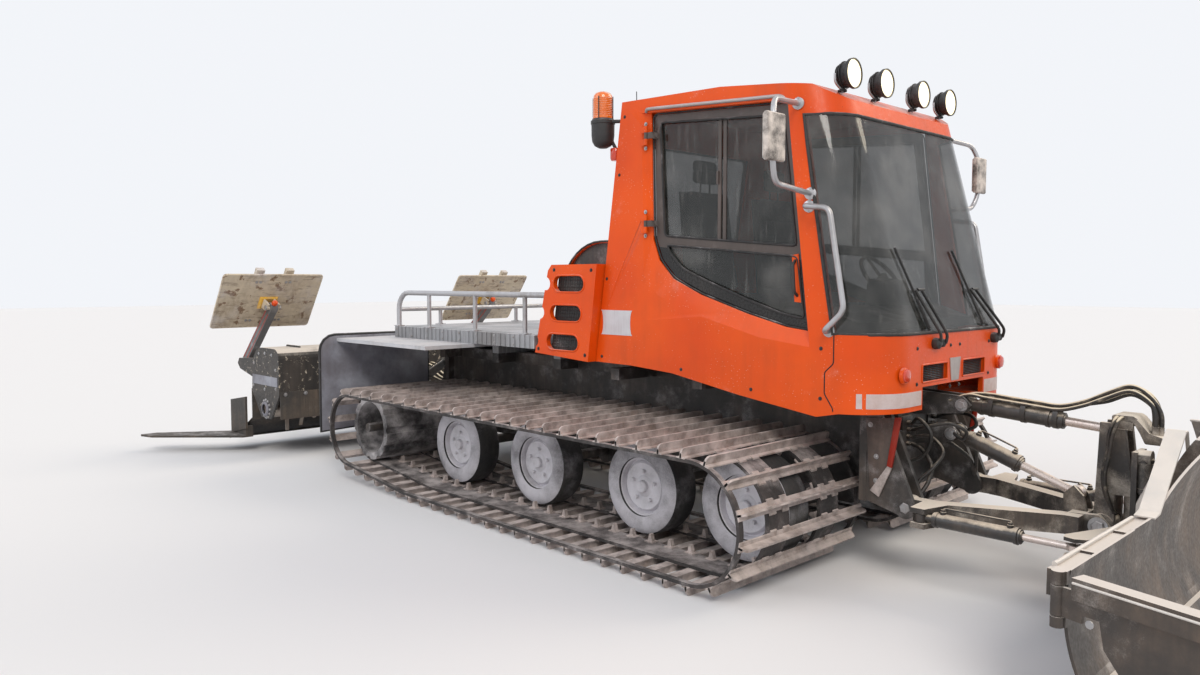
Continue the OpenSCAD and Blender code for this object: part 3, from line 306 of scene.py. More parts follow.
# Along a path: a copy of one shape at each of Count points, its X along the path and its Z outward
row_tree, given, path, end = new_nodes("row_on_path", Count="Int", Shape="Object")
stops = place(row_tree, "GeometryNodeResampleCurve", {"Curve": path, "Count": given["Count"]}).outputs[0]
along = place(row_tree, "GeometryNodeInputTangent").outputs[0]
outward = place(row_tree, "ShaderNodeVectorMath", {0: along, 1: (0.0, 1.0, 0.0)}, operation="CROSS_PRODUCT")
turned = place(row_tree, "FunctionNodeAlignRotationToVector", {"Vector": along}, axis="X").outputs[0]
turned = place(row_tree, "FunctionNodeAlignRotationToVector", {"Rotation": turned, "Vector": outward.outputs[0]},
               axis="Z", pivot_axis="X").outputs[0]
shape = place(row_tree, "GeometryNodeObjectInfo", {"Object": given["Shape"]}).outputs["Geometry"]
end(place(row_tree, "GeometryNodeInstanceOnPoints",
          {"Points": stops, "Instance": shape, "Rotation": turned}).outputs[0])

# A flat belt of Width and Thick swept round each loop of its carrier
belt_tree, given, path, end = new_nodes("belt_on_path", Width="Float", Thick="Float")
section = place(belt_tree, "GeometryNodeCurvePrimitiveQuadrilateral",
                {"Width": given["Width"], "Height": given["Thick"]}).outputs[0]
end(place(belt_tree, "GeometryNodeCurveToMesh", {"Curve": path, "Profile Curve": section}).outputs[0])


def prism(shape, outline, axis, low, high):
    """A straight bar between two levels on that axis; the outline runs on the other two, in x, y, z order."""
    rings = []
    for level in (low, high):
        spots = [{"x": (level, u, v), "y": (u, level, v), "z": (u, v, level)}[axis] for u, v in outline]
        rings.append([shape.verts.new(spot) for spot in spots])
    count = len(outline)
    for i in range(count):
        shape.faces.new((rings[0][i], rings[0][(i + 1) % count], rings[1][(i + 1) % count], rings[1][i]))
    shape.faces.new(rings[0])
    shape.faces.new(list(reversed(rings[1])))


def slab(shape, outline, axis, low, high):
    """A prism whose x is measured as the part's source does."""
    if axis == "x":
        prism(shape, outline, axis, low + ROW_SHIFT, high + ROW_SHIFT)
    else:
        prism(shape, [(x + ROW_SHIFT, v) for x, v in outline], axis, low, high)


def box(shape, x, y, z):
    """A box between two values each of x, y and z, as the part's source gives them."""
    slab(shape, [(x[0], z[0]), (x[1], z[0]), (x[1], z[1]), (x[0], z[1])], "y", *y)


def as_mesh(name, shape, smooth=35.0):
    """The shape as a mesh, its doubles merged and its faces outward, sharp past that angle."""
    bmesh.ops.remove_doubles(shape, verts=shape.verts, dist=1e-5)
    bmesh.ops.recalc_face_normals(shape, faces=shape.faces)
    mesh = bpy.data.meshes.new(name)
    shape.to_mesh(mesh)
    shape.free()
    shade(mesh, smooth)
    return mesh


def arc(*degrees):
    """Those angles in radians."""
    return [radians(d) for d in degrees]


def turns(count, start=0.0):
    """That many angles evenly round a full turn, in radians."""
    return [2 * pi * k / count + start for k in range(count)]


# One grouser: a tall blade with rounded upper corners on a foot, clamped by plates over the belts
grouser = bmesh.new()
HALF = TRACK_WIDTH / 2
CORNER = 0.028
corner = [(CORNER * sin(a), CORNER * (1 - cos(a))) for a in arc(0, 30, 60, 90)]
blade_line = [(-HALF, 0.0), (HALF, 0.0)]
blade_line += [(HALF - CORNER + u, GROUSER_HEIGHT - w) for u, w in reversed(corner)]
blade_line += [(-HALF + CORNER - u, GROUSER_HEIGHT - w) for u, w in corner]
prism(grouser, blade_line, "x", -0.006, 0.006)
prism(grouser, [(-0.030, -0.001), (0.030, -0.001), (0.028, 0.006), (0.009, 0.010), (0.006, 0.030),
                (-0.006, 0.030), (-0.009, 0.010), (-0.028, 0.006)], "y", -HALF, HALF)
for middle, width in BELTS[:2]:
    for y in (middle - 0.3 * width, middle + 0.3 * width):
        prism(grouser, [(-0.045, 0.001), (0.045, 0.001), (0.040, 0.010), (-0.040, 0.010)], "y", y - 0.028, y + 0.028)
grouser_shape = bpy.data.objects.new("grouser_shape", as_mesh("grouser_shape", grouser))
horn = bmesh.new()
prism(horn, [(-0.020, 0.0), (0.020, 0.0), (0.007, -0.050), (-0.007, -0.050)], "y", -0.014, 0.014)
prism(horn, [(-0.034, 0.0), (0.034, 0.0), (0.030, -0.006), (-0.030, -0.006)], "y", -0.03, 0.03)
horn_shape = bpy.data.objects.new("horn_shape", as_mesh("horn_shape", horn))

belt_rubber = finish("belt_rubber", (0.022, 0.020, 0.020), (0.10, 0.08, 0.075), 0.7, cover=0.40,
                     cling=0.24, patch=7.0, bump=0.35, veil=(0.52, 0.47, 0.46))
frosted_alloy = finish("frosted_alloy", (0.25, 0.215, 0.20), (0.34, 0.25, 0.20), 0.5, metallic=0.35, dirt_size=5.0,
                       cover=0.5, cling=0.42, patch=12.0, bump=0.45, veil=(0.64, 0.56, 0.53))
BELT_POINTS = 6 * GROUSER_COUNT
for side, word in SIDES:
    middle = side * TRACK_MIDDLE
    for kind, picked in (("broad", BELTS[:2]), ("edge", BELTS[2:])):
        carrier = loops("belts", belt_line(BELT_THICK / 2, BELT_POINTS), [middle + belt[0] for belt in picked])
        belts = grow("belts_%s_%s" % (kind, word), carrier, belt_tree,
                     {"Width": picked[0][1], "Thick": BELT_THICK, "Material": belt_rubber}, "vehicle", 30)
        if kind == "broad":
            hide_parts("track_" + word)
    for name, inset, lines, shape in (("grousers_", 0.0, [middle], grouser_shape),
                                      ("guide_horns_", BELT_THICK, [middle - 0.165, middle + 0.165], horn_shape)):
        grow(name + word, loops(name, belt_line(inset, BELT_POINTS), lines), row_tree,
             {"Count": GROUSER_COUNT, "Shape": shape, "Material": frosted_alloy}, "vehicle", 35)


# --- Wheels -----------------------------------------------------------------
# Pressed steel wheels with broad rubber tyres, bolted to hubs on the chassis' axle stubs.
# The tyres' flat faces and the discs are white with rime; the groove between them stays dark.

WHEEL_X = [FRONT_X, 1.040 + ROW_SHIFT, -0.010 + ROW_SHIFT, -1.000 + ROW_SHIFT]
TYRE_RADIUS, TYRE_HALF = 0.310, 0.110
LOWER_Z = GROUSER_HEIGHT + BELT_THICK + TYRE_RADIUS
FRONT_RADIUS = 0.321


def bridge(shape, rings):
    """Faces from each ring of vertices to the next; a ring may be one vertex repeated."""
    for low, high in zip(rings, rings[1:]):
        for i in range(len(low)):
            j = (i + 1) % len(low)
            corners = list(dict.fromkeys((low[i], low[j], high[j], high[i])))
            if len(corners) > 2:
                shape.faces.new(corners)


def lathe(shape, profile, centre, axis, steps=48, side=1):
    """A turned shape: profile points are (radius, distance along the axis)."""
    rings = []
    for radius, reach in profile:
        ring = []
        for a in turns(steps if radius else 1):
            u, v, w = radius * cos(a), radius * sin(a), reach * side
            spot = {"x": (w, u, v), "y": (u, w, v), "z": (u, v, w)}[axis]
            ring.append(shape.verts.new(Vector(spot) + Vector(centre)))
        rings.append(ring if radius else ring * steps)
    bridge(shape, rings)


def add_piece(name, shape, material, body="vehicle", replaced=(), smooth=35.0):
    """A piece of that shape and finish on a body, in place of the CAD nodes named."""
    mesh = as_mesh(name, shape, smooth)
    mesh.materials.append(material)
    obj = stand(name, mesh)
    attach(obj, body)
    if replaced:
        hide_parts(*replaced)
    return obj


tyre_rubber = finish("tyre_rubber", (0.020, 0.020, 0.021), (0.10, 0.09, 0.08), 0.75, dirt_amount=0.6, cover=0.2,
                     cling=0.22, patch=4.0, bump=0.25, veil=(0.46, 0.45, 0.48))
rimed_disc = finish("rimed_disc", (0.42, 0.41, 0.43), (0.20, 0.17, 0.16), 0.6, metallic=0.15, dirt_size=6.0,
                    cover=0.4, cling=0.50, bump=0.3, veil=(0.72, 0.70, 0.74))
tyres, discs = bmesh.new(), bmesh.new()
for side in (-1, 1):
    for i, x in enumerate(WHEEL_X):
        radius = FRONT_RADIUS if i == 0 else TYRE_RADIUS
        centre = (x, side * TRACK_MIDDLE, GROUSER_HEIGHT + FRONT_BEND if i == 0 else LOWER_Z)
        lathe(tyres, [(0.190, -0.104), (0.205, -TYRE_HALF), (radius - 0.045, -TYRE_HALF), (radius - 0.010, -0.094),
                      (radius, -0.070), (radius, 0.070), (radius - 0.010, 0.094), (radius - 0.045, TYRE_HALF),
                      (0.205, TYRE_HALF), (0.190, 0.104), (0.190, -0.104)], centre, "y", 64)
        lathe(discs, [(0.0, 0.100), (0.034, 0.100), (0.040, 0.094), (0.040, 0.072), (0.062, 0.070), (0.070, 0.064),
                      (0.130, 0.064), (0.150, 0.070), (0.158, 0.064), (0.166, 0.045), (0.176, 0.045), (0.182, 0.085),
                      (0.187, 0.090), (0.1895, 0.080), (0.1895, -0.09), (0.160, -0.09), (0.150, 0.0), (0.0, 0.0)],
              centre, "y", 48, side)
        for a in turns(5, 0.3):
            spot = Vector(centre) + Vector((0.098 * cos(a), 0.0, 0.098 * sin(a)))
            lathe(discs, [(0.0, 0.084), (0.010, 0.084), (0.013, 0.080), (0.013, 0.060), (0.0, 0.060)], spot, "y", 6,
                  side)
worn_tyres = add_piece("wheel_tyres_worn", tyres, tyre_rubber, replaced=["wheel_tyres"])
frosted_sidewall = finish("frosted_sidewall", (0.035, 0.034, 0.035), (0.12, 0.10, 0.09), 0.8, dirt_amount=0.4,
                          cling=0.46, patch=3.0, bump=0.5, veil=(0.62, 0.60, 0.64))
worn_tyres.data.materials.append(frosted_sidewall)
for polygon in worn_tyres.data.polygons:
    if abs(polygon.normal.y) > 0.9:
        polygon.material_index = 1
add_piece("wheel_discs_rimed", discs, rimed_disc, replaced=["wheel_discs"])
coat_nodes(finish("sprocket_plastic", (0.022, 0.022, 0.024), (0.20, 0.18, 0.17), 0.5, dirt_amount=0.8, cover=0.4,
                  cling=0.36, bump=0.12, grain=300.0), "drive_sprockets")


# --- Deck -------------------------------------------------------------------
# A load platform of pressed tread plate on folded edges, with a railing of bent tube on bolted feet.
# Sheet guards hang under its sides, and grey flaps edged with black rubber stand behind the tracks.

DECK_TOP = 1.300
RAIL_Y = 0.890
POSTS = [(-0.330, RAIL_Y), (-0.970, RAIL_Y), (-1.640, RAIL_Y), (-2.130, RAIL_Y), (-2.130, 0.450)]
FLAP_X = -2.390


def at(x, y, z):
    """A point that the part's source gives, in metres."""
    return Vector((x + ROW_SHIFT, y, z))


def both(spots):
    """The same points on the right and on the left."""
    return [[Vector((p.x, side * p.y, p.z)) for p in spots] for side in (-1, 1)]


def rounded(points, reach, closed=False, steps=5):
    """The path with each corner cut back by reach and turned into a curve."""
    path = []
    for i, corner in enumerate(points):
        if not closed and i in (0, len(points) - 1):
            path.append(corner)
            continue
        before, after = points[i - 1] - corner, points[(i + 1) % len(points)] - corner
        a = corner + before.normalized() * min(reach, 0.45 * before.length)
        b = corner + after.normalized() * min(reach, 0.45 * after.length)
        for k in range(steps + 1):
            t = k / steps
            path.append(a * (1 - t) ** 2 + corner * 2 * t * (1 - t) + b * t**2)
    return path


# A round bar swept along each of its carrier's lines
tube_tree, given, path, end = new_nodes("tube_on_path", Radius="Float", Sides="Int")
section = place(tube_tree, "GeometryNodeCurvePrimitiveCircle",
                {"Resolution": given["Sides"], "Radius": given["Radius"]}).outputs[0]
end(place(tube_tree, "GeometryNodeCurveToMesh",
          {"Curve": path, "Profile Curve": section, "Fill Caps": True}).outputs[0])


def tubes(name, paths, radius, material, body="vehicle", closed=False, sides=12):
    """One piece of round bar along all of the paths."""
    spots, edges = [], []
    for line in paths:
        first = len(spots)
        spots += line
        edges += [(first + i, first + i + 1) for i in range(len(line) - 1)]
        if closed:
            edges.append((len(spots) - 1, first))
    values = {"Radius": radius, "Sides": sides, "Material": material}
    return grow(name, carrier_of(name, spots, edges), tube_tree, values, body, 50)


# A bolt on each of its carrier's loose triangles, standing along the triangle's normal
bolt_tree, given, _, end = new_nodes("bolts_on_faces", Size="Float", Shape="Object")
number = place(bolt_tree, "GeometryNodeInputIndex").outputs[0]
third = place(bolt_tree, "ShaderNodeMath", {0: number, 1: 3.0}, operation="MODULO").outputs[0]
first = place(bolt_tree, "FunctionNodeCompare", {"A": third, "B": 0.5}, operation="LESS_THAN").outputs[0]
facing = place(bolt_tree, "GeometryNodeInputNormal").outputs[0]
turned = place(bolt_tree, "FunctionNodeAlignRotationToVector", {"Vector": facing}, axis="Z").outputs[0]
shape = place(bolt_tree, "GeometryNodeObjectInfo", {"Object": given["Shape"]}).outputs["Geometry"]
end(place(bolt_tree, "GeometryNodeInstanceOnPoints",
          {"Points": given["Geometry"], "Selection": first, "Instance": shape, "Rotation": turned,
           "Scale": given["Size"]}).outputs[0])
bolt = bmesh.new()
lathe(bolt, [(0.0, -0.3), (1.9, -0.3), (1.9, 0.25), (0.0, 0.25)], (0, 0, 0), "z", 14)
lathe(bolt, [(0.0, 0.2), (1.05, 0.2), (1.05, 1.0), (0.85, 1.15), (0.0, 1.15)], (0, 0, 0), "z", 6)
bolt_shape = bpy.data.objects.new("bolt_shape", as_mesh("bolt_shape", bolt))


def bolts(name, spots, size, material, body="vehicle"):
    """Hexagon bolts: spots are pairs of a point and the direction of its head; size is half a head's width."""
    corners = []
    for point, direction in spots:
        direction = Vector(direction).normalized()
        across = direction.orthogonal().normalized()
        other = direction.cross(across)
        corners += [point, point + across * 0.001, point + other * 0.001]
    carrier = carrier_of(name, corners, faces=[(i, i + 1, i + 2) for i in range(0, len(corners), 3)])
    return grow(name, carrier, bolt_tree, {"Size": size, "Shape": bolt_shape, "Material": material}, body, 30)


def on_both(y, spots):
    """Bolts at those (x, z) of an upright face, the same right and left, their heads outward."""
    return [(at(x, side * y, z), (0, side, 0)) for side in (-1, 1) for x, z in spots]


def tread(tree, vector, clean):
    """Raised bars in two directions, worn bright on top."""
    bars = []
    for direction in ((1.0, 1.0, 0.0), (1.0, -1.0, 0.0)):
        turned = place(tree, "ShaderNodeVectorMath", {0: vector, 1: direction}, operation="DOT_PRODUCT").outputs[1]
        wave = sum_of(tree, "SINE", sum_of(tree, "MULTIPLY", turned, 150.0))
        bars.append(slope(tree, wave, 0.55, 0.85))
    raised = sum_of(tree, "MULTIPLY", *bars)
    scuffed = sum_of(tree, "MULTIPLY", raised, slope(tree, speckle(tree, vector, 6.0), 0.4, 0.65))
    return blend_colour(tree, scuffed, clean, (0.62, 0.62, 0.64)), sum_of(tree, "MULTIPLY", raised, 2.0)


tread_alloy = finish("tread_alloy", (0.34, 0.345, 0.36), (0.16, 0.14, 0.13), 0.42, metallic=0.55, dirt_size=2.0,
                     cover=0.34, cling=0.2, patch=3.0, bump=0.4, detail=tread)
bright_steel = finish("bright_steel", (0.47, 0.47, 0.49), (0.22, 0.20, 0.18), 0.34, metallic=0.65,
                      cover=0.34, cling=0.2, patch=9.0, bump=0.12)
zinc_bolts = finish("zinc_bolts", (0.42, 0.42, 0.43), (0.20, 0.15, 0.12), 0.4, metallic=0.7, dirt_size=12.0,
                    cover=0.25, cling=0.2, patch=12.0)
guard_sheet = finish("guard_sheet", (0.52, 0.53, 0.56), (0.26, 0.24, 0.22), 0.5, metallic=0.1, cover=0.42,
                     cling=0.3, patch=4.0)
flap_grey = finish("flap_grey", (0.20, 0.195, 0.225), (0.12, 0.11, 0.115), 0.62, dirt_size=3.0, dirt_amount=0.6,
                   cling=0.34, patch=3.5, bump=0.3, veil=(0.40, 0.42, 0.48))
edge_rubber = finish("edge_rubber", (0.020, 0.020, 0.021), (0.08, 0.07, 0.065), 0.7, dirt_amount=0.6,
                     cling=0.16, patch=8.0, bump=0.2, grain=200.0)
coat_nodes(tread_alloy, "cargo_deck")
coat_nodes(bright_steel, "deck_railing")
coat_nodes(guard_sheet, "fenders")
coat_nodes(flap_grey, "mud_flaps")

feet = bmesh.new()
foot_bolts = []
for x, y in POSTS:
    for side in (-1, 1):
        low = at(x, side * y, DECK_TOP)
        prism(feet, [(low.x - 0.035, low.y - 0.035), (low.x + 0.035, low.y - 0.035), (low.x + 0.035, low.y + 0.035),
                     (low.x - 0.035, low.y + 0.035)], "z", DECK_TOP + 0.0005, DECK_TOP + 0.007)
        foot_bolts += [(low + Vector((dx, 0, 0.007)), (0, 0, 1)) for dx in (-0.027, 0.027)]
        lathe(feet, [(0.019, 0.006), (0.028, 0.006), (0.021, 0.014), (0.019, 0.014)], low, "z", 20)
add_piece("railing_feet", feet, bright_steel)
bolts("railing_bolts", foot_bolts, 0.006, zinc_bolts)

flap_edge = [at(FLAP_X + 0.008, y, z) for y, z in ((0.430, 0.420), (1.540, 0.380), (1.540, 1.090))]
flap_edge += [at(FLAP_X + 0.008, 1.400 + 0.140 * cos(a), 1.090 + 0.140 * sin(a))
              for a in arc(22, 45, 68, 90)] + [at(FLAP_X + 0.008, 0.430, 1.230)]
tubes("flap_edges", both(flap_edge), 0.012, edge_rubber, closed=True, sides=8)
flap_bolts = [(at(FLAP_X, side * y, 1.195), (-1, 0, 0)) for side in (-1, 1) for y in (0.50, 0.72, 0.94, 1.16, 1.36)]
bolts("flap_bolts", flap_bolts, 0.009, zinc_bolts)
deck_edge = [(-2.105 + 0.24 * k, z) for z in (1.222, 1.278) for k in range(8)]
bolts("deck_edge_bolts", on_both(0.9302, deck_edge), 0.006, zinc_bolts)


# --- Engine hood ------------------------------------------------------------
# A dark sheet box over the engine under an arched skin of orange glass-fibre, with side covers of the same.
# Black wire mesh closes the covers' louvre slots; latches and hinges are black, and the paint is chipped at edges.

ORANGE = (0.80, 0.090, 0.003)
LOUVRES = [(0.020 + 0.040 * i, 0.250 + 0.030 * i, 1.265 + 0.210 * i) for i in range(3)]
COVER_OUT, COVER_IN = 0.925, 0.885
SKIN_HALF, SKIN_RADIUS, SKIN_MIDDLE = 0.645, 0.432, (0.240, 1.560)


def sprayed(tree, vector, clean):
    """Orange peel, fading and small chips down to a darker coat."""
    faded = slope(tree, speckle(tree, vector, 1.3, 3.0), 0.35, 0.7)
    colour = blend_colour(tree, faded, clean, (0.72, 0.068, 0.003))
    chips = slope(tree, speckle(tree, vector, 42.0, 8.0, 0.75), 0.70, 0.74)
    colour = blend_colour(tree, chips, colour, (0.16, 0.05, 0.02))
    drops = place(tree, "ShaderNodeTexVoronoi", {"Vector": vector, "Scale": 55.0}).outputs["Distance"]
    few = slope(tree, speckle(tree, vector, 4.0), 0.46, 0.62)
    thaw = sum_of(tree, "MULTIPLY", slope(tree, drops, 0.16, 0.06), few)
    colour = blend_colour(tree, thaw, colour, (0.75, 0.42, 0.33))
    return colour, sum_of(tree, "ADD", sum_of(tree, "MULTIPLY", thaw, 0.8), speckle(tree, vector, 260.0, 2.0))


orange_paint = finish("orange_paint", ORANGE, (0.40, 0.060, 0.012), 0.36, coat=0.1, gloss=0.25, dirt_size=1.8,
                      dirt_amount=0.4, cover=0.34, cling=0.12, patch=4.0, bump=0.06, veil=(0.80, 0.60, 0.54),
                      detail=sprayed)
dark_sheet = finish("dark_sheet", (0.030, 0.029, 0.029), (0.12, 0.10, 0.085), 0.5, metallic=0.1, dirt_amount=0.6,
                    cover=0.35, cling=0.2, bump=0.15)
black_plastic = finish("black_plastic", (0.018, 0.018, 0.019), (0.08, 0.07, 0.065), 0.5, dirt_amount=0.5,
                       cling=0.12, bump=0.12, grain=300.0)
coat_nodes(orange_paint, "hood_skin", "side_covers")
coat_nodes(dark_sheet, "engine_hood")

# Mesh behind the slots: crossed wires on a dark backing, one panel a side
MESH_LOW, MESH_LEAN = 1.205, 0.16  # where the mesh starts, and how it leans as it rises
mesh_wires = []
for side in (-1, 1):
    y = side * (COVER_IN - 0.004)
    for z in (MESH_LOW + 0.024 * k for k in range(24)):
        mesh_wires.append([at(x + MESH_LEAN * (z - MESH_LOW), y, z) for x in (-0.030, 0.345)])
    for x in (-0.030 + 0.025 * k for k in range(16)):
        mesh_wires.append([at(x, y, MESH_LOW), at(x + 0.088, y, 1.757)])
tubes("louvre_mesh", mesh_wires, 0.0022, black_plastic, sides=4)
backing = bmesh.new()
for side in (-1, 1):
    y = side * (COVER_IN - 0.010)
    slab(backing, [(-0.035, 1.198), (0.350, 1.198), (0.440, 1.764), (0.055, 1.764)], "y", y - 0.002, y + 0.002)
add_piece("louvre_backing", backing, dark_sheet)

# Rolled lips round the slots
LIP = 0.060
lips = []
for x0, x1, z in LOUVRES:
    lips += both([at(x + turn * LIP * sin(a), COVER_OUT, z + turn * LIP * cos(a))
                  for x, turn in ((x1, 1), (x0, -1)) for a in arc(*range(0, 181, 20))])
tubes("louvre_lips", lips, 0.006, orange_paint, closed=True, sides=8)

# Seal under the skin's edge, and toggle latches low on the box
seal = [at(SKIN_MIDDLE[0] - SKIN_RADIUS * cos(a), SKIN_HALF, SKIN_MIDDLE[1] + SKIN_RADIUS * sin(a))
        for a in arc(*range(0, 91, 9))]
seal = [at(SKIN_MIDDLE[0] - SKIN_RADIUS, SKIN_HALF, DECK_TOP + 0.012)] + seal
seal.append(at(SKIN_RADIUS - 0.030, SKIN_HALF, SKIN_MIDDLE[1] + SKIN_RADIUS))
tubes("hood_seal", both(seal), 0.008, edge_rubber, sides=8)
latches = bmesh.new()
for y in (-0.42, 0.0, 0.42):
    x = SKIN_MIDDLE[0] - SKIN_RADIUS + ROW_SHIFT
    prism(latches, [(y - 0.022, 1.335), (y + 0.022, 1.335), (y + 0.022, 1.430), (y + 0.010, 1.445),
                    (y - 0.010, 1.445), (y - 0.022, 1.430)], "x", x - 0.016, x - 0.0005)
    prism(latches, [(y - 0.008, 1.350), (y + 0.008, 1.350), (y + 0.008, 1.415), (y - 0.008, 1.415)], "x",
          x - 0.026, x - 0.015)
add_piece("hood_latches", latches, black_plastic)
cover_bolts = ((-0.130, 1.205), (0.375, 1.185), (0.440, 1.780), (0.050, 1.785))
bolts("cover_bolts", on_both(COVER_OUT, cover_bolts), 0.007, black_plastic)


# --- Cab shell --------------------------------------------------------------
# Glass-fibre side walls, roof and nose in orange paint, bolted to a floor frame along a zig-zag joint.
# A grey drip rail is riveted over each door, and a bare plate with hollowed sides sits low behind it.

CAB_HALF, CAB_CORNER, CAB_FRONT, SILL, ROOF = 0.850, 0.300, 2.600, 1.410, 2.900
CAB_LEAN = radians(15.3)
SEAM = [(2.3052, 0.985), (2.3052, 1.000), (2.2502, 1.080), (2.2502, 1.200), (2.3052, 1.250), (2.3052, 1.408)]
PATCH = (0.615, 1.420, 0.150, 0.085)  # middle and half sizes
SLOT_LOW, SLOT_HIGH = 1.135, 1.235


def on_cab(y, z, off=0.0):
    """The point of the cab's rounded front at that side and height, moved out by off."""
    front = CAB_FRONT - max(0.0, z - SILL) * tan(CAB_LEAN)
    reach = CAB_CORNER / (cos(CAB_LEAN) if z > SILL else 1.0)
    over = max(0.0, abs(y) - (CAB_HALF - CAB_CORNER))
    turn = asin(min(1.0, over / CAB_CORNER))
    x = front - reach + reach * cos(turn)
    return at(x + off * cos(turn), y + off * copysign(sin(turn), y), z)


coat_nodes(orange_paint, "cab_rear", "cab_roof", "front_panel")

# The side walls are carved: a sloped shelf runs below and behind each door's opening, where frost gathers
DOOR = [(0.906, 2.800), (1.9804, 2.730), (2.140, 1.420), (1.970, 1.440), (1.690, 1.510), (1.330, 1.620),
        (1.100, 1.720), (0.980, 1.840), (0.925, 1.980)]
SHELF = [0.0, 0.0, 0.085, 0.105, 0.125, 0.140, 0.150, 0.150, 0.060]  # its width along each side of the opening
SHELF_DEPTH = 0.031


def carve(name, node, wedge, material, body, sharp=9.0):
    """A copy of that CAD node with the wedge cut out of it, standing for the node on its body."""
    carved = stand(name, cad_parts[node].data.copy())
    solid = bmesh.new()
    solid.from_mesh(carved.data)
    bmesh.ops.remove_doubles(solid, verts=solid.verts, dist=2e-6)
    solid.to_mesh(carved.data)
    solid.free()
    cutter = stand(name + "_cutter", as_mesh(name + "_cutter", wedge))
    cut = carved.modifiers.new("cut", "BOOLEAN")
    cut.operation, cut.solver, cut.object = "DIFFERENCE", "EXACT", cutter
    carved.data = settled(carved)
    carved.modifiers.clear()
    bpy.data.objects.remove(cutter)
    carved.data.materials.clear()
    carved.data.materials.append(material)
    for polygon in carved.data.polygons:
        polygon.material_index = 0
    shade(carved.data, sharp)
    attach(carved, body)
    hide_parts(node)


for side, word in SIDES:
    outer = [(0.0, 3.5), (3.5, 3.5), (3.5, 0.5), (0.0, 0.5)]
    for (xa, za), (xb, zb), width in zip(DOOR, DOOR[1:] + DOOR[:1], SHELF):
        length = hypot(xb - xa, zb - za)
        nx, nz = -(zb - za) / length, (xb - xa) / length
        far = [(x - xa) * nx + (z - za) * nz - width * (SHELF_DEPTH + 0.010) / SHELF_DEPTH for x, z in outer]
        kept = []
        for i, (x, z) in enumerate(outer):
            j = (i + 1) % len(outer)
            if far[i] <= 0:
                kept.append((x, z))
            if far[i] * far[j] < 0:
                t = far[i] / (far[i] - far[j])
                kept.append((x + (outer[j][0] - x) * t, z + (outer[j][1] - z) * t))
        outer = kept
    wedge = bmesh.new()
    for outline, y in ((DOOR, CAB_HALF - SHELF_DEPTH), (outer, CAB_HALF + 0.010)):
        for x, z in outline:
            wedge.verts.new(at(x, side * y, z))
    bmesh.ops.convex_hull(wedge, input=wedge.verts)
    carve("cab_side_carved_" + word, "cab_side_" + word, wedge, orange_paint, "vehicle")
bare_plate = finish("bare_plate", (0.60, 0.59, 0.62), (0.45, 0.40, 0.42), 0.35, coat=0.3, dirt_size=6.0, cover=0.2)
drip_alloy = finish("drip_alloy", (0.40, 0.36, 0.35), (0.24, 0.20, 0.18), 0.4, metallic=0.4, cover=0.45, cling=0.2)
gap_black = finish("gap_black", (0.012, 0.011, 0.011), (0.05, 0.03, 0.025), 0.8, cover=0.2, cling=0.05)

joint = rounded([at(x, CAB_HALF, z) for x, z in SEAM], 0.015)
tubes("panel_joint", both(joint), 0.0035, gap_black, sides=8)
rail = [at(0.886, CAB_HALF - 0.002, 2.806), at(0.900, CAB_HALF + 0.010, 2.822), at(1.930, CAB_HALF + 0.004, 2.757),
        at(1.960, CAB_HALF - 0.012, 2.742)]
tubes("drip_rails", both(rounded(rail, 0.02)), 0.011, drip_alloy, sides=10)

plate = bmesh.new()
middle_x, middle_z, half_x, half_z = PATCH
HOLLOW = 0.020  # how far each upright side of the plate curves in
outline = []
for turn in (1, -1):
    outline += [(-turn * half_x, -turn * half_z), (turn * half_x, -turn * half_z)]
    outline += [(turn * (half_x - HOLLOW * sin(a)), -turn * half_z * cos(a))
                for a in arc(30, 60, 90, 120, 150)]
outline = [(middle_x + x, middle_z + z) for x, z in outline]
for side in (-1, 1):
    slab(plate, outline, "y", side * (CAB_HALF + 0.0004), side * (CAB_HALF + 0.002))
add_piece("bare_plates", plate, bare_plate)

# Nose: mesh behind the air slots with a pale bar between them, a lip round each, and rime on the corner steps
slot_lips = []
for side in (-1, 1):
    ring = ((0.100, SLOT_LOW), (0.410, SLOT_LOW), (0.410, SLOT_HIGH), (0.100, SLOT_HIGH))
    slot_lips.append(rounded([on_cab(side * y, z, 0.001) for y, z in ring], 0.012, closed=True))
tubes("slot_lips", slot_lips, 0.005, orange_paint, closed=True, sides=8)
slot_wires = [[on_cab(side * 0.098, z, -0.024), on_cab(side * 0.412, z, -0.024)] for side in (-1, 1)
              for z in (SLOT_LOW + 0.010 * k for k in range(11))]
slot_wires += [[on_cab(side * y, SLOT_LOW - 0.002, -0.022), on_cab(side * y, SLOT_HIGH + 0.002, -0.022)]
               for side in (-1, 1) for y in (0.104 + 0.017 * k for k in range(19))]
tubes("slot_mesh", slot_wires, 0.0018, black_plastic, sides=4)
bar = bmesh.new()
slab(bar, [(-0.048, SLOT_LOW - 0.015), (0.048, SLOT_LOW - 0.015), (0.070, SLOT_HIGH + 0.020),
           (-0.070, SLOT_HIGH + 0.020)], "x", 2.598, 2.604)
add_piece("nose_bar", bar, drip_alloy)
GRIP_START, GRIP_STEP, GRIP_LOW, GRIP_HIGH = 0.415, 0.045, 1.010, 1.092
pads = bmesh.new()
for side in (-1, 1):
    for k in range(9):
        near, far = GRIP_START + GRIP_STEP * k, GRIP_START + GRIP_STEP * (k + 1)
        ring = ((near, GRIP_LOW), (far, GRIP_LOW), (far, GRIP_HIGH), (near, GRIP_HIGH))
        pads.faces.new([pads.verts.new(on_cab(side * y, z, 0.0025)) for y, z in ring])
bmesh.ops.remove_doubles(pads, verts=pads.verts, dist=1e-5)
rim = bmesh.ops.extrude_face_region(pads, geom=list(pads.faces))
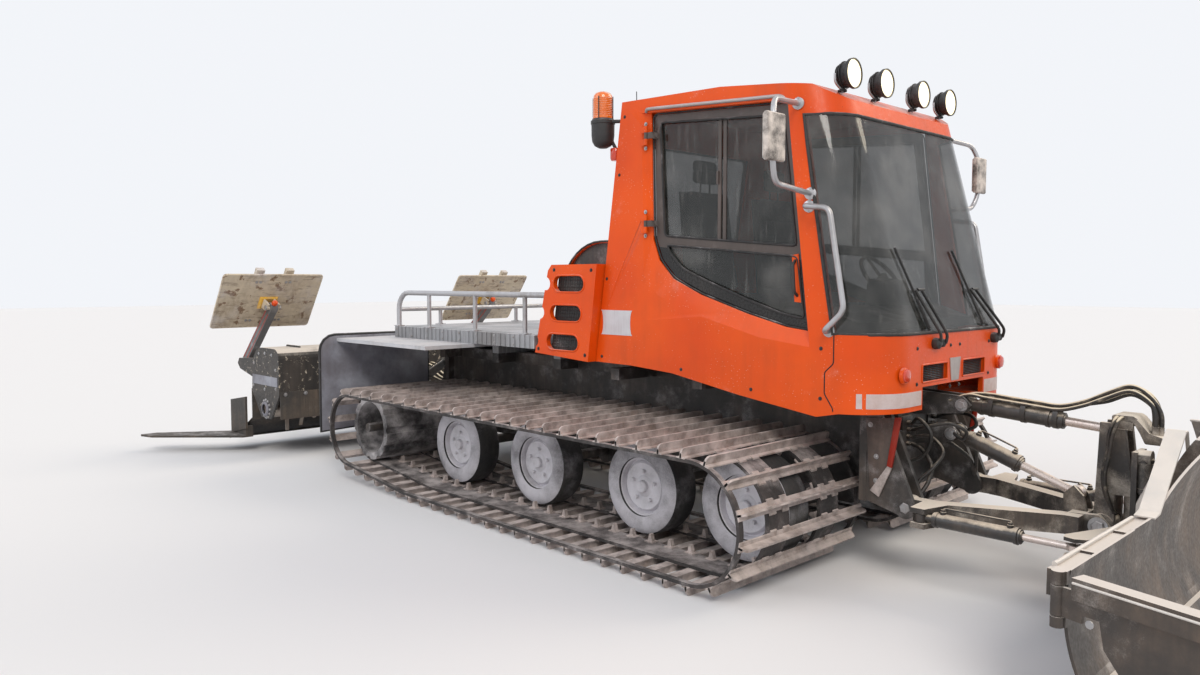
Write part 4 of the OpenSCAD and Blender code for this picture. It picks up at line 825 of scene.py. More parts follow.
for vertex in (v for v in rim["geom"] if isinstance(v, bmesh.types.BMVert)):
    vertex.co.x -= 0.0022
    vertex.co.y -= copysign(0.0010, vertex.co.y)
step_grip = finish("step_grip", (0.50, 0.40, 0.38), (0.42, 0.16, 0.07), 0.8, dirt_size=7.0, dirt_amount=0.5,
                   cover=0.5, cling=0.45, patch=6.0, bump=0.5, grain=160.0, veil=(0.66, 0.56, 0.55))
add_piece("step_grips", pads, step_grip)

nose_bolts = [(on_cab(side * y, z, 0.0), on_cab(side * y, z, 1.0) - on_cab(side * y, z, 0.0))
              for side in (-1, 1) for y, z in ((0.470, 1.330), (0.470, 1.130), (0.060, 1.330), (0.060, 1.090))]
side_bolts = ((2.225, 1.050), (2.225, 1.330), (0.470, 1.180), (0.520, 1.720), (0.640, 2.420), (0.690, 2.800),
              (1.200, 1.140), (1.750, 1.060))
bolts("cab_bolts", nose_bolts + on_both(CAB_HALF, side_bolts), 0.006, black_plastic)


# --- Windows ----------------------------------------------------------------
# Tinted safety glass held in black rubber: a curved windshield that leans back, and a flat pane behind.
# Frost hazes its edges. Each wiper is a pair of arms on one dark foot, with a jointed blade.

HEADER = 2.640
WINDOW_LOW, WINDOW_HALF = 2.020, 0.560
WIPERS = [(-0.276, -0.427), (0.519, 0.282)]  # y of the foot and of the blade's middle


def pillar_x(z):
    """Where the side walls end in front at that height."""
    return 2.300 - 0.1832 * (z - SILL)


def glass_finish(name, tint, roughness, haze, dense):
    """Tinted safety glass of that density, with dust and a thin haze of frost."""
    material, tree, shader, vector = bare_finish(name, {"Transmission Weight": 0.0, "Metallic": 0.0,
                                                        "Specular IOR Level": 0.8})
    dusty = slope(tree, speckle(tree, vector, 3.0, 7.0), 0.42, 0.75, 0.0, haze)
    runs = slope(tree, speckle(tree, stretched(tree, vector, (7.0, 7.0, 1.0)), 5.0, 5.0), 0.52, 0.78, 0.0, haze)
    veiled = sum_of(tree, "MAXIMUM", dusty, runs)
    tree.links.new(blend_colour(tree, veiled, tint, (0.36, 0.35, 0.33)), shader.inputs["Base Color"])
    tree.links.new(slope(tree, veiled, 0.0, 1.0, roughness, 0.5), shader.inputs["Roughness"])
    tree.links.new(slope(tree, veiled, 0.0, 1.0, dense, 1.0), shader.inputs["Alpha"])
    return material


cab_glass = glass_finish("cab_glass", (0.020, 0.022, 0.020), 0.04, 0.30, 0.52)
coat_nodes(cab_glass, "windshield", "rear_window")

frame_line = [on_cab(0.8499 * (k / 12 - 1), SILL + 0.004, 0.001) for k in range(25)]
climb = [SILL + 0.004 + (HEADER - SILL - 0.008) * k / 8 for k in range(1, 9)]


def pillar_point(side, z):
    """Where the windshield's side edge lies on the cab at that height."""
    low, high = CAB_HALF - CAB_CORNER, CAB_HALF
    for _ in range(24):
        y = (low + high) / 2
        if on_cab(y, z).x - ROW_SHIFT > pillar_x(z):
            low = y
        else:
            high = y
    return on_cab(side * low, z, 0.001)


right_edge, left_edge = [pillar_point(-1, z) for z in climb], [pillar_point(1, z) for z in climb]
top_y = left_edge[-1].y
top_line = [on_cab(top_y * (1 - k / 10), HEADER - 0.004, 0.001) for k in range(1, 20)]
tubes("windshield_seal", [frame_line + left_edge + top_line + list(reversed(right_edge))], 0.010, edge_rubber,
      closed=True, sides=8)
rear_x = [0.410 + (z - 1.140) / ((2.900 - 1.140) / 0.255) for z in (WINDOW_LOW, HEADER)]
pane = [at(rear_x[0], -WINDOW_HALF, WINDOW_LOW), at(rear_x[0], WINDOW_HALF, WINDOW_LOW),
        at(rear_x[1], WINDOW_HALF, HEADER), at(rear_x[1], -WINDOW_HALF, HEADER)]
tubes("rear_window_seal", [rounded(pane, 0.05, closed=True)], 0.011, edge_rubber, closed=True, sides=8)

ARM_GAP, HEEL_Z, YOKE_Z = 0.075, SILL - 0.060, SILL + 0.245
arms, blades = [], []
feet = bmesh.new()
for foot_y, blade_y in WIPERS:
    lathe(feet, [(0.030, 0.0), (0.034, 0.012), (0.030, 0.034), (0.014, 0.046), (0.0, 0.048)],
          on_cab(foot_y, HEEL_Z, 0.0), "x", 24)
    lathe(feet, [(0.022, 0.0), (0.026, 0.010), (0.022, 0.028), (0.010, 0.036), (0.0, 0.038)],
          on_cab(foot_y + ARM_GAP, HEEL_Z, 0.0), "x", 24)
    for shift in (0.0, ARM_GAP):
        arms.append(rounded([on_cab(foot_y + shift, HEEL_Z, 0.036), on_cab(foot_y + shift - 0.012, SILL - 0.010, 0.052),
                             on_cab(blade_y + shift, YOKE_Z, 0.024)], 0.03))
    low, high = on_cab(blade_y + 0.085, SILL + 0.030, 0.014), on_cab(blade_y - 0.105, SILL + 0.480, 0.014)
    blades.append([low.lerp(high, k / 8) for k in range(9)])
    arms.append([on_cab(blade_y + 0.030, YOKE_Z, 0.022), on_cab(blade_y + 0.100, YOKE_Z, 0.026)])
add_piece("wiper_feet", feet, black_plastic, replaced=["wipers"])
tubes("wiper_arms", arms, 0.009, black_plastic, sides=10)
tubes("wiper_blades", blades, 0.0075, edge_rubber, sides=6)


# --- Doors ------------------------------------------------------------------
# Steel frames with a rail across, glazed above and below it, hung on two hinges behind and shut in a rubber seal.
# The upper pane slides on a pair of thin uprights; the grip stands in a recess cut into the front edge.

DOOR_MIDDLE = (1.520, 2.150)
DOOR_FACE = 0.800  # |y| of its outer face; its inner face is 0.040 further in
DOOR_RAIL = 1.990
RAIL_FALL = 0.094  # per metre toward the front


def on_rail(x, z):
    """That point of an opening's edge, moved with the rail where it lies on it: the rail falls toward the front."""
    if x < 0.970 or abs(z - DOOR_RAIL) > 0.050:
        return x, z
    drop = 0.019 + RAIL_FALL * (x - 0.987)
    return (x + 0.122 * drop if x > 1.850 else x), z - drop


def door_line(inset, y, low=0.0, high=9.0):
    """The door's outline drawn in toward its middle, at that y, cut to the heights between low and high."""
    spots = []
    for x, z in DOOR:
        far = hypot(x - DOOR_MIDDLE[0], z - DOOR_MIDDLE[1])
        spots.append((x + (DOOR_MIDDLE[0] - x) * inset / far, z + (DOOR_MIDDLE[1] - z) * inset / far))
    cut = []
    for (xa, za), (xb, zb) in zip(spots, spots[1:] + spots[:1]):
        if low <= za <= high:
            cut.append((xa, za))
        for level in (low, high):
            if (za - level) * (zb - level) < 0:
                t = (level - za) / (zb - za)
                cut.append((xa + (xb - xa) * t, level))
    if cut and (high < 9.0 or low > 0.0):
        middle = (sum(x for x, _ in cut) / len(cut), sum(z for _, z in cut) / len(cut))
        cut.sort(key=lambda p: -atan2(p[1] - middle[1], p[0] - middle[0]))
    return [at(on_rail(x, z)[0], y, on_rail(x, z)[1]) for x, z in cut]


def lean_rail(name, node, materials, body):
    """A copy of that CAD node whose rail falls toward the front; its border below the rail takes the last finish."""
    solid = bmesh.new()
    solid.from_mesh(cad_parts[node].data)
    bmesh.ops.remove_doubles(solid, verts=solid.verts, dist=2e-6)
    for vert in solid.verts:
        x, z = on_rail(vert.co.x - ROW_SHIFT, vert.co.z)
        vert.co.x, vert.co.z = x + ROW_SHIFT, z
    foot, upright = at(0.987, 0.0, 1.926), Vector((RAIL_FALL, 0.0, 1.0))
    if len(materials) > 1:
        bmesh.ops.bisect_plane(solid, geom=solid.verts[:] + solid.edges[:] + solid.faces[:], dist=1e-5,
                               plane_co=foot, plane_no=upright)
    mesh = bpy.data.meshes.new(name)
    for material in materials:
        mesh.materials.append(material)
    for face in solid.faces:
        below = (face.calc_center_median() - foot).dot(upright) < 0.0
        face.material_index = 1 if below and len(materials) > 1 else 0
    solid.to_mesh(mesh)
    solid.free()
    shade(mesh, 20.0)
    leaned = stand(name, mesh)
    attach(leaned, body)
    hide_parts(node)


door_grey = finish("door_grey", (0.070, 0.055, 0.049), (0.16, 0.12, 0.105), 0.42, metallic=0.1, dirt_amount=0.6,
                   cover=0.34, cling=0.16)
border_black = finish("border_black", (0.012, 0.012, 0.012), (0.045, 0.038, 0.034), 0.26, dirt_amount=0.5, cling=0.08,
                      patch=4.0, gloss=0.4)
for side, word in SIDES:
    body = "door_%s_body" % word
    lean_rail("door_frame_" + word, "door_" + word, (door_grey, border_black), body)
    lean_rail("door_panes_" + word, "door_glass_" + word, (cab_glass,), body)
    outer = side * (DOOR_FACE + 0.001)
    proud = side * (DOOR_FACE + 0.004)
    tubes("door_seal_" + word, [rounded(door_line(0.006, proud), 0.05, closed=True)], 0.006, edge_rubber,
          closed=True, sides=8)
    panes = [rounded(door_line(0.092, outer, **limit), 0.03, closed=True)
             for limit in ({"low": DOOR_RAIL + 0.030}, {"high": DOOR_RAIL - 0.030})]
    tubes("pane_seals_" + word, panes, 0.007, edge_rubber, body, closed=True, sides=8)
    uprights = bmesh.new()
    for x, y in ((1.455, DOOR_FACE - 0.006), (1.492, DOOR_FACE - 0.010)):
        box(uprights, (x - 0.012, x + 0.012), (side * y, side * (y - 0.008)), (DOOR_RAIL - 0.042, 2.700))
    box(uprights, (1.438, 1.452), (side * (DOOR_FACE - 0.006), side * (DOOR_FACE + 0.004)), (2.300, 2.380))
    add_piece("pane_uprights_" + word, uprights, door_grey, body)
    recess = bmesh.new()
    slab(recess, [(2.018, 1.585), (2.062, 1.582), (2.040, 1.860), (1.996, 1.852)], "y",
         outer, side * (DOOR_FACE + 0.006))
    add_piece("grip_plate_" + word, recess, orange_paint, body)
    grip = [at(2.036, side * (DOOR_FACE + 0.004), 1.620), at(2.034, side * (DOOR_FACE + 0.034), 1.640),
            at(2.022, side * (DOOR_FACE + 0.034), 1.800), at(2.018, side * (DOOR_FACE + 0.004), 1.822)]
    tubes("door_grip_" + word, [rounded(grip, 0.02)], 0.009, black_plastic, body)
    hinge_bolts = [(at(0.884, side * (CAB_HALF + 0.0002), z + dz), (0, side, 0))
                   for z in (2.080, 2.650) for dz in (-0.078, 0.078)]
    bolts("hinge_bolts_" + word, hinge_bolts, 0.007, zinc_bolts)


# --- Seats ------------------------------------------------------------------
# Two sprung seats on steel boxes, each a sewn cushion, back and headrest in dark cloth on moulded shells.
# The pads are swollen by a cloth simulation, and their sewn channels are pressed in afterwards.

SEAT_Y = (-0.400, 0.400)


def ease(shape, offset, segments):
    """All of the shape's edges rounded off."""
    bmesh.ops.bevel(shape, geom=list(shape.edges), offset=offset, segments=segments, profile=0.5, affect="EDGES")


def quad(x, y, half, z):
    """The corners of a level rectangle between two values of x, that far to each side of y."""
    return [at(x[0], y - half, z), at(x[1], y - half, z), at(x[1], y + half, z), at(x[0], y + half, z)]


SEAM_WIDTH, SEAM_DEPTH = 0.006, 0.007


def sewn_pad(name, corners, voxel, cap, seams, rests=()):
    """A padded piece from eight corners, low four then high four; seams and rests are (point, normal) planes."""
    shape = bmesh.new()
    spots = [shape.verts.new(p) for p in corners]
    for face in ((3, 2, 1, 0), (4, 5, 6, 7), (0, 1, 5, 4), (1, 2, 6, 5), (2, 3, 7, 6), (3, 0, 4, 7)):
        shape.faces.new([spots[i] for i in face])
    ease(shape, 0.028, 3)
    pad = stand(name, as_mesh(name, shape))
    remesh = pad.modifiers.new("remesh", "REMESH")
    remesh.mode, remesh.voxel_size = "VOXEL", voxel

    def settle():
        """The pad's modifiers made part of its mesh."""
        pad.data = settled(pad)
        pad.modifiers.clear()

    settle()
    start = [v.co.copy() for v in pad.data.vertices]
    cloth = pad.modifiers.new("swell", "CLOTH")
    cloth.settings.use_pressure = True
    cloth.settings.uniform_pressure_force = 4.0
    cloth.settings.effector_weights.gravity = 0.0
    for k in range(1, 21):
        bpy.context.scene.frame_set(k)
    settle()
    bpy.context.scene.frame_set(1)
    for vertex, home in zip(pad.data.vertices, start):
        moved = vertex.co - home
        if moved.length > cap:
            vertex.co = home + moved * (cap / moved.length)
    pad.modifiers.new("finer", "SUBSURF").levels = 1
    settle()
    normals = [v.normal.copy() for v in pad.data.vertices]
    for vertex, normal in zip(pad.data.vertices, normals):
        press = 0.0
        for point, across in seams:
            gap = (vertex.co - point).dot(across)
            press = max(press, exp(-((gap / SEAM_WIDTH) ** 2)))
        vertex.co -= normal * SEAM_DEPTH * press
        for point, out in rests:
            over = (vertex.co - point).dot(out)
            if over > 0:
                vertex.co -= out * over
    for polygon in pad.data.polygons:
        polygon.use_smooth = True
    pad.data.name = name
    pad.data.materials.clear()
    pad.data.materials.append(seat_cloth)
    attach(pad, "vehicle")


def woven(tree, vector, clean):
    """A fine twill with lighter threads."""
    threads = []
    for direction in ((1.0, 1.0, 0.3), (0.4, -1.0, 1.0)):
        along = place(tree, "ShaderNodeVectorMath", {0: vector, 1: direction}, operation="DOT_PRODUCT").outputs[1]
        threads.append(sum_of(tree, "SINE", sum_of(tree, "MULTIPLY", along, 1500.0)))
    height = sum_of(tree, "MAXIMUM", *threads)
    return blend_colour(tree, slope(tree, height, 0.3, 1.0, 0.0, 0.5), clean, (0.07, 0.075, 0.085)), height


seat_cloth = finish("seat_cloth", (0.020, 0.021, 0.025), (0.05, 0.045, 0.04), 0.92, dirt_amount=0.3, cover=0.0,
                    cling=0.0, bump=0.25, detail=woven)
shells, stands = bmesh.new(), bmesh.new()
OUT, ACROSS, LEAN = Vector((1, 0, 0)), Vector((0, 1, 0)), Vector((-0.09, 0, 0.71)).normalized()
for y, word in zip(SEAT_Y, ("right", "left")):
    base = quad((1.062, 1.548), y, 0.238, 1.514)
    sewn_pad("seat_cushion_" + word, base + [p + Vector((0, 0, 0.092)) for p in base], 0.010, 0.020,
             [(at(x, y, 1.6), OUT) for x in (1.20, 1.38)] + [(at(1.3, y + dy, 1.6), ACROSS) for dy in (-0.150, 0.150)],
             [(at(1.3, y, 1.503), Vector((0, 0, -1)))])
    sewn_pad("seat_back_" + word, quad((1.062, 1.158), y, 0.226, 1.635) + quad((0.992, 1.070), y, 0.205, 2.318),
             0.010, 0.018, [(at(1.1, y, z), LEAN) for z in (1.80, 1.97, 2.14)]
             + [(at(1.1, y + dy, 2.0), ACROSS) for dy in (-0.140, 0.140)])
    sewn_pad("headrest_" + word, quad((0.990, 1.055), y, 0.122, 2.362) + quad((0.982, 1.036), y, 0.112, 2.520),
             0.008, 0.010, [(at(1.0, y, 2.445), LEAN)])
    slab(shells, [(1.030, 1.488), (1.575, 1.488), (1.580, 1.503), (1.030, 1.503)], "y", y - 0.235, y + 0.235)
    slab(shells, [(1.036, 1.503), (1.056, 1.503), (0.984, 2.300), (0.968, 2.300)], "y", y - 0.215, y + 0.215)
    for dy in (-0.05, 0.05):
        lathe(shells, [(0.0, 0.0), (0.007, 0.0), (0.007, 0.10), (0.0, 0.10)], at(1.015, y + dy, 2.290), "z", 10)
    slab(stands, [(1.120, 1.212), (1.500, 1.212), (1.480, 1.250), (1.480, 1.470), (1.500, 1.488), (1.120, 1.488)], "y",
         y - 0.175, y + 0.175)
    for z in (1.300, 1.345, 1.390, 1.435):
        box(stands, (1.115, 1.488), (y - 0.182, y + 0.182), (z, z + 0.018))
add_piece("seat_stands", stands, black_plastic)
add_piece("seat_shells", shells, black_plastic, replaced=["seats"])


# --- Dashboard --------------------------------------------------------------
# A moulded black console with a hooded screen, rows of switches, a joystick in a boot and a leather-rimmed wheel.
# It is only seen through the glass, so its plastic is plain with a fine grain.

WHEEL_SPOT, WHEEL_TILT, WHEEL_RADIUS = at(1.900, 0.400, 1.720), radians(38), 0.185


def spin_along(shape, profile, start, direction, steps=24):
    """A turned shape on any axis: profile points are (radius, distance from start along direction)."""
    axis = Vector(direction).normalized()
    u = axis.orthogonal().normalized()
    v = axis.cross(u)
    rings = []
    for radius, reach in profile:
        spots = [start + axis * reach + u * radius * cos(a) + v * radius * sin(a)
                 for a in turns(steps if radius else 1)]
        ring = [shape.verts.new(p) for p in spots]
        rings.append(ring if radius else ring * steps)
    bridge(shape, rings)


screen_glass = finish("screen_glass", (0.010, 0.014, 0.020), (0.05, 0.05, 0.05), 0.12, coat=0.6, cover=0.0,
                      cling=0.0, bump=0.02)
coat_nodes(black_plastic, "dashboard")
rim = [WHEEL_SPOT + Vector((-sin(WHEEL_TILT) * cos(a), sin(a), cos(WHEEL_TILT) * cos(a)))
       * WHEEL_RADIUS for a in turns(48)]
tubes("steering_rim", [rim], 0.014, edge_rubber, closed=True)
spokes = [[WHEEL_SPOT, rim[k]] for k in (0, 16, 32)]
tubes("steering_spokes", spokes, 0.011, black_plastic)
column = bmesh.new()
axis = Vector((cos(WHEEL_TILT), 0, sin(WHEEL_TILT)))
spin_along(column, [(0.0, -0.020), (0.035, -0.018), (0.045, 0.0), (0.032, 0.03), (0.026, 0.20), (0.045, 0.24),
                    (0.045, 0.29), (0.0, 0.29)], WHEEL_SPOT, Vector((axis.x, 0, -axis.z)))
for x, y, tall in ((1.72, 0.03, 0.15), (1.86, -0.02, 0.09)):
    spin_along(column, [(0.045, 0.0), (0.040, 0.012), (0.024, 0.05), (0.009, 0.055), (0.009, tall),
                        (0.020, tall + 0.015), (0.024, tall + 0.05), (0.014, tall + 0.075), (0.0, tall + 0.08)],
               at(x, y, 1.480), (0.05, 0, 1))
for k in range(8):
    y = -0.62 + 0.055 * k
    slab(column, [(y - 0.017, 1.560), (y + 0.017, 1.560), (y + 0.015, 1.576), (y - 0.015, 1.576)], "x", 2.105, 2.150)
slab(column, [(2.085, 1.555), (2.240, 1.555), (2.200, 1.700), (2.105, 1.720), (2.090, 1.690)], "y", -0.13, 0.17)
add_piece("dashboard_controls", column, black_plastic)
screen = bmesh.new()
slab(screen, [(2.0785, 1.585), (2.0835, 1.585), (2.0885, 1.685), (2.0835, 1.685)], "y", -0.105, 0.145)
add_piece("dashboard_screen", screen, screen_glass)


# --- Lamps and mirrors ------------------------------------------------------
# Four round work lamps on yokes over the windshield, lit; an amber beacon and a black rear lamp on a bracket.
# Mirrors in black shells and the grab rails ride on bent bright tube, their feet bolted through the pillar.

LAMP_Y = (-0.600, -0.230, 0.230, 0.600)
LAMP_Z = ROOF - 0.030
BEACON = (0.475, -0.845)
TUBE = 0.016


def on_side(x, z, off):
    """The point of the cab's side at that distance and height, off it by that much."""
    front = CAB_FRONT - max(0.0, z - SILL) * tan(CAB_LEAN)
    reach = CAB_CORNER / (cos(CAB_LEAN) if z > SILL else 1.0)
    u = min(1.0, max(0.0, (x - (front - reach)) / reach))
    return at(x, CAB_HALF - CAB_CORNER * (1 - sqrt(1 - u * u)) + off, z)


lamp_glow, glow_tree, glow, vector = bare_finish(
    "lamp_glow", {"Emission Color": (1.0, 0.84, 0.52, 1.0), "Emission Strength": 1.6, "Roughness": 0.15})
cells = place(glow_tree, "ShaderNodeTexVoronoi", {"Vector": vector, "Scale": 70.0}).outputs["Distance"]
glow_tree.links.new(blend_colour(glow_tree, cells, (1.0, 0.93, 0.76), (0.72, 0.60, 0.40)),
                    glow.inputs["Base Color"])
amber_lens = finish("amber_lens", (0.82, 0.17, 0.008), (0.45, 0.08, 0.01), 0.12, coat=0.7, dirt_amount=0.3,
                    cover=0.42, cling=0.16, patch=14.0, bump=0.05, veil=(0.85, 0.72, 0.66))
red_lens = finish("red_lens", (0.62, 0.045, 0.012), (0.3, 0.03, 0.01), 0.14, coat=0.7, dirt_amount=0.3,
                  cling=0.12, bump=0.05)
mirror_glass = finish("mirror_glass", (0.75, 0.76, 0.78), (0.5, 0.5, 0.5), 0.04, metallic=1.0, dirt_amount=0.2,
                      cover=0.1, bump=0.01)

cans, lenses, yokes = bmesh.new(), bmesh.new(), []
for y in LAMP_Y:
    spin_along(cans, [(0.0, 0.0), (0.040, 0.002), (0.054, 0.012), (0.058, 0.020), (0.066, 0.045), (0.080, 0.088),
                      (0.085, 0.092), (0.085, 0.108), (0.080, 0.110), (0.078, 0.101), (0.0, 0.100)],
               at(2.150, y, LAMP_Z), (1, 0, 0), 40)
    spin_along(lenses, [(0.0, 0.108), (0.030, 0.107), (0.060, 0.105), (0.077, 0.1015), (0.077, 0.100), (0.0, 0.100)],
               at(2.150, y, LAMP_Z), (1, 0, 0), 40)
    for k in range(3):
        spin_along(cans, [(0.050 + 0.008 * k, 0.0), (0.060 + 0.008 * k, 0.0), (0.060 + 0.008 * k, 0.004),
                          (0.050 + 0.008 * k, 0.004)], at(2.165 + 0.016 * k, y, LAMP_Z), (1, 0, 0), 40)
    spin_along(cans, [(0.026, 0.0), (0.026, 0.010), (0.015, 0.014), (0.015, 0.030)],
               at(2.180, y, on_cab(0.0, ROOF - 0.128).z + 0.006), (0, 0, 1), 20)
    yokes.append(rounded([at(2.180, y - 0.079, LAMP_Z), at(2.180, y - 0.079, LAMP_Z - 0.050),
                          at(2.180, y, LAMP_Z - 0.086), at(2.180, y + 0.079, LAMP_Z - 0.050),
                          at(2.180, y + 0.079, LAMP_Z)], 0.03))
    yokes.append([at(2.180, y, LAMP_Z - 0.084), at(2.180, y, LAMP_Z - 0.100)])
add_piece("lamp_cans", cans, black_plastic, replaced=["work_lamps"])
add_piece("lamp_lenses", lenses, lamp_glow)
tubes("lamp_yokes", yokes, 0.007, bright_steel, sides=8)

dome, base, rear = bmesh.new(), bmesh.new(), bmesh.new()
foot = at(BEACON[0], BEACON[1], ROOF)
ribs = []
for k in range(11):
    ribs += [(0.0700, -0.070 + 0.012 * k), (0.0665, -0.067 + 0.012 * k)]
spin_along(dome, [(0.0, -0.088), (0.071, -0.088)] + ribs
           + [(0.064, 0.070), (0.052, 0.088), (0.030, 0.097), (0.0, 0.099)], foot, (0, 0, 1), 40)
spin_along(base, [(0.0, -0.285), (0.030, -0.283), (0.058, -0.268), (0.074, -0.240), (0.079, -0.200), (0.080, -0.125),
                  (0.084, -0.120), (0.084, -0.100), (0.076, -0.094), (0.074, -0.086), (0.0, -0.086)], foot,
           (0, 0, 1), 40)
cage = [[foot + Vector((0.074 * cos(a), 0.074 * sin(a), z)) for z in (-0.098, 0.060)]
        for a in (0.4, 1.97, 3.54, 5.11)]
tubes("beacon_cage", cage, 0.0035, black_plastic, sides=8)
tubes("beacon_arm", [rounded([foot + Vector((0.070, 0.010, -0.110)), foot + Vector((0.130, 0.050, -0.110)),
                              at(0.645, -0.760, ROOF - 0.110)], 0.03)], 0.013, black_plastic)
spin_along(rear, [(0.0, 0.0), (0.034, 0.0), (0.038, 0.006), (0.038, 0.070), (0.030, 0.085), (0.0, 0.088)],
           foot + Vector((0.062, 0.062, -0.285)), (0, 0, -1), 32)
add_piece("beacon_dome", dome, amber_lens, replaced=["signal_lamps"])
add_piece("beacon_base", base, black_plastic)
add_piece("rear_lamp", rear, red_lens)
tubes("rear_lamp_arm", [[foot + Vector((0.050, 0.040, -0.240)), foot + Vector((0.062, 0.062, -0.287))]], 0.012,
      black_plastic)
marks, rings = bmesh.new(), bmesh.new()
for side in (-1, 1):
    spot = at(2.599, side * 0.620, 1.190)
    spin_along(marks, [(0.037, 0.0), (0.037, 0.018), (0.034, 0.026), (0.020, 0.030), (0.0, 0.031)], spot, (1, 0, 0), 36)
    spin_along(rings, [(0.036, -0.004), (0.044, -0.004), (0.044, 0.012), (0.040, 0.016), (0.036, 0.014)], spot,
               (1, 0, 0), 36)
add_piece("nose_markers", marks, red_lens)
add_piece("nose_marker_rings", rings, orange_paint)

shells, panes, feet, foot_bolts = bmesh.new(), bmesh.new(), bmesh.new(), []
stay = [on_side(2.045, ROOF - 0.200, 0.005), at(2.140, 1.200, ROOF - 0.235), at(2.170, 1.250, ROOF - 0.340),
        at(2.170, 1.250, 2.320), at(2.150, 1.200, 2.220), on_side(2.140, 2.190, 0.003)]
grab = [on_side(2.135, 2.120, 0.002), on_side(2.135, 2.120, 0.060), at(2.300, 0.910, 2.100), at(2.400, 0.910, 1.545),
        on_side(2.275, 1.430, 0.060), on_side(2.275, 1.430, 0.002)]
for side in (-1, 1):
    case = [(2.158, 2.345), (2.158, 2.565), (2.170, 2.580), (2.188, 2.580), (2.195, 2.572), (2.195, 2.338),
            (2.188, 2.330), (2.170, 2.330)]
    slab(shells, case, "y", side * 1.172, side * 1.328)
    box(panes, (2.155, 2.157), (side * 1.180, side * 1.320), (2.342, 2.568))
    for line in (stay, grab):
        for p in (line[0], line[-1]):
            here = Vector((p.x, side * p.y, p.z))
            away = Vector((0.25, side * 1.0, 0.05)).normalized()
            spin_along(feet, [(0.0, -0.003), (0.034, -0.003), (0.034, 0.004), (0.020, 0.009), (0.0, 0.009)], here,
                       away, 24)
            foot_bolts += [(here + away * 0.004 + Vector((0, 0, dz)), away) for dz in (-0.026, 0.026)]
ease(shells, 0.004, 2)
tubes("mirror_stays", both(rounded(stay, 0.05)), TUBE, bright_steel, sides=14)
tubes("grab_rail_tubes", both(rounded(grab, 0.045)), TUBE, bright_steel, sides=14)
mirror_shell = finish("mirror_shell", (0.035, 0.031, 0.028), (0.12, 0.09, 0.07), 0.5, cover=0.8, cling=0.42,
                      patch=14.0, bump=0.15, veil=(0.74, 0.66, 0.60))
add_piece("mirror_shells", shells, mirror_shell, replaced=["mirrors"])
add_piece("mirror_panes", panes, mirror_glass)
add_piece("rail_feet", feet, bright_steel, replaced=["grab_rails"])
bolts("rail_foot_bolts", foot_bolts, 0.005, zinc_bolts)
tubes("radio_whip", [[at(0.660, -0.700, ROOF - 0.100), at(0.655, -0.700, ROOF + 0.095)]], 0.003, black_plastic, sides=8)


# --- Blade linkage ----------------------------------------------------------
# Push arms, an upper link and a mast of welded plate, moved by black hydraulic cylinders with dull chromed rods.
# Everything is caked with rime on top; hoses are strapped along the upper cylinder and arch over to the mast.

CYLINDERS = [  # name, body, anchor, eye, barrel radius, where the barrel ends, turned pin radius
    ("lift", "lift_cylinder", (2.620, 0.0, 0.810), (3.290, 0.0, 0.560), 0.045, 0.400, 0.025),
    ("upper", "upper_cylinder", (2.680, 0.0, 0.985), (3.474, 0.0, 0.926), 0.045, 0.540, 0.025),
    ("swing_right", "swing_cylinder_right", (2.700, -0.590, 0.425), (3.480, -0.590, 0.425), 0.038, 0.530, 0.020),
    ("swing_left", "swing_cylinder_left", (2.700, 0.590, 0.425), (3.480, 0.590, 0.425), 0.038, 0.530, 0.020),
    ("hitch_right", "hitch_cylinders", (-2.330, -0.200, 0.950), (-3.000, -0.200, 0.640), 0.040, 0.430, 0.022),
    ("hitch_left", "hitch_cylinders", (-2.330, 0.200, 0.950), (-3.000, 0.200, 0.640), 0.040, 0.430, 0.022),
    ("tilt", "head", (3.660, -0.190, 0.845), (3.660, -0.190, 0.560), 0.036, 0.195, 0.0),
]

caked_steel = finish("caked_steel", (0.040, 0.036, 0.034), (0.20, 0.15, 0.11), 0.55, metallic=0.1, dirt_size=3.0,
                     cover=0.85, cling=0.26, patch=6.0, bump=0.4, veil=(0.78, 0.70, 0.60))
barrel_black = finish("barrel_black", (0.020, 0.018, 0.017), (0.12, 0.09, 0.07), 0.4, coat=0.2, dirt_size=5.0,
                      dirt_amount=0.5, cover=0.5, patch=8.0, bump=0.15, veil=(0.70, 0.60, 0.48))
dull_rod = finish("dull_rod", (0.58, 0.50, 0.46), (0.42, 0.30, 0.25), 0.3, metallic=0.75, dirt_size=8.0,
                  dirt_amount=0.5, cover=0.4, cling=0.26, patch=10.0, bump=0.06, veil=(0.74, 0.64, 0.56))
coat_nodes(caked_steel, "push_frame", "mast", "swing_head", "hitch_frame")
coat_nodes(barrel_black, "lift_barrel", "upper_barrel", "swing_barrel_right", "swing_barrel_left", "hitch_barrels")
coat_nodes(dull_rod, "lift_rod", "upper_rod", "swing_rod_right", "swing_rod_left", "hitch_rods", "tilt_rod")

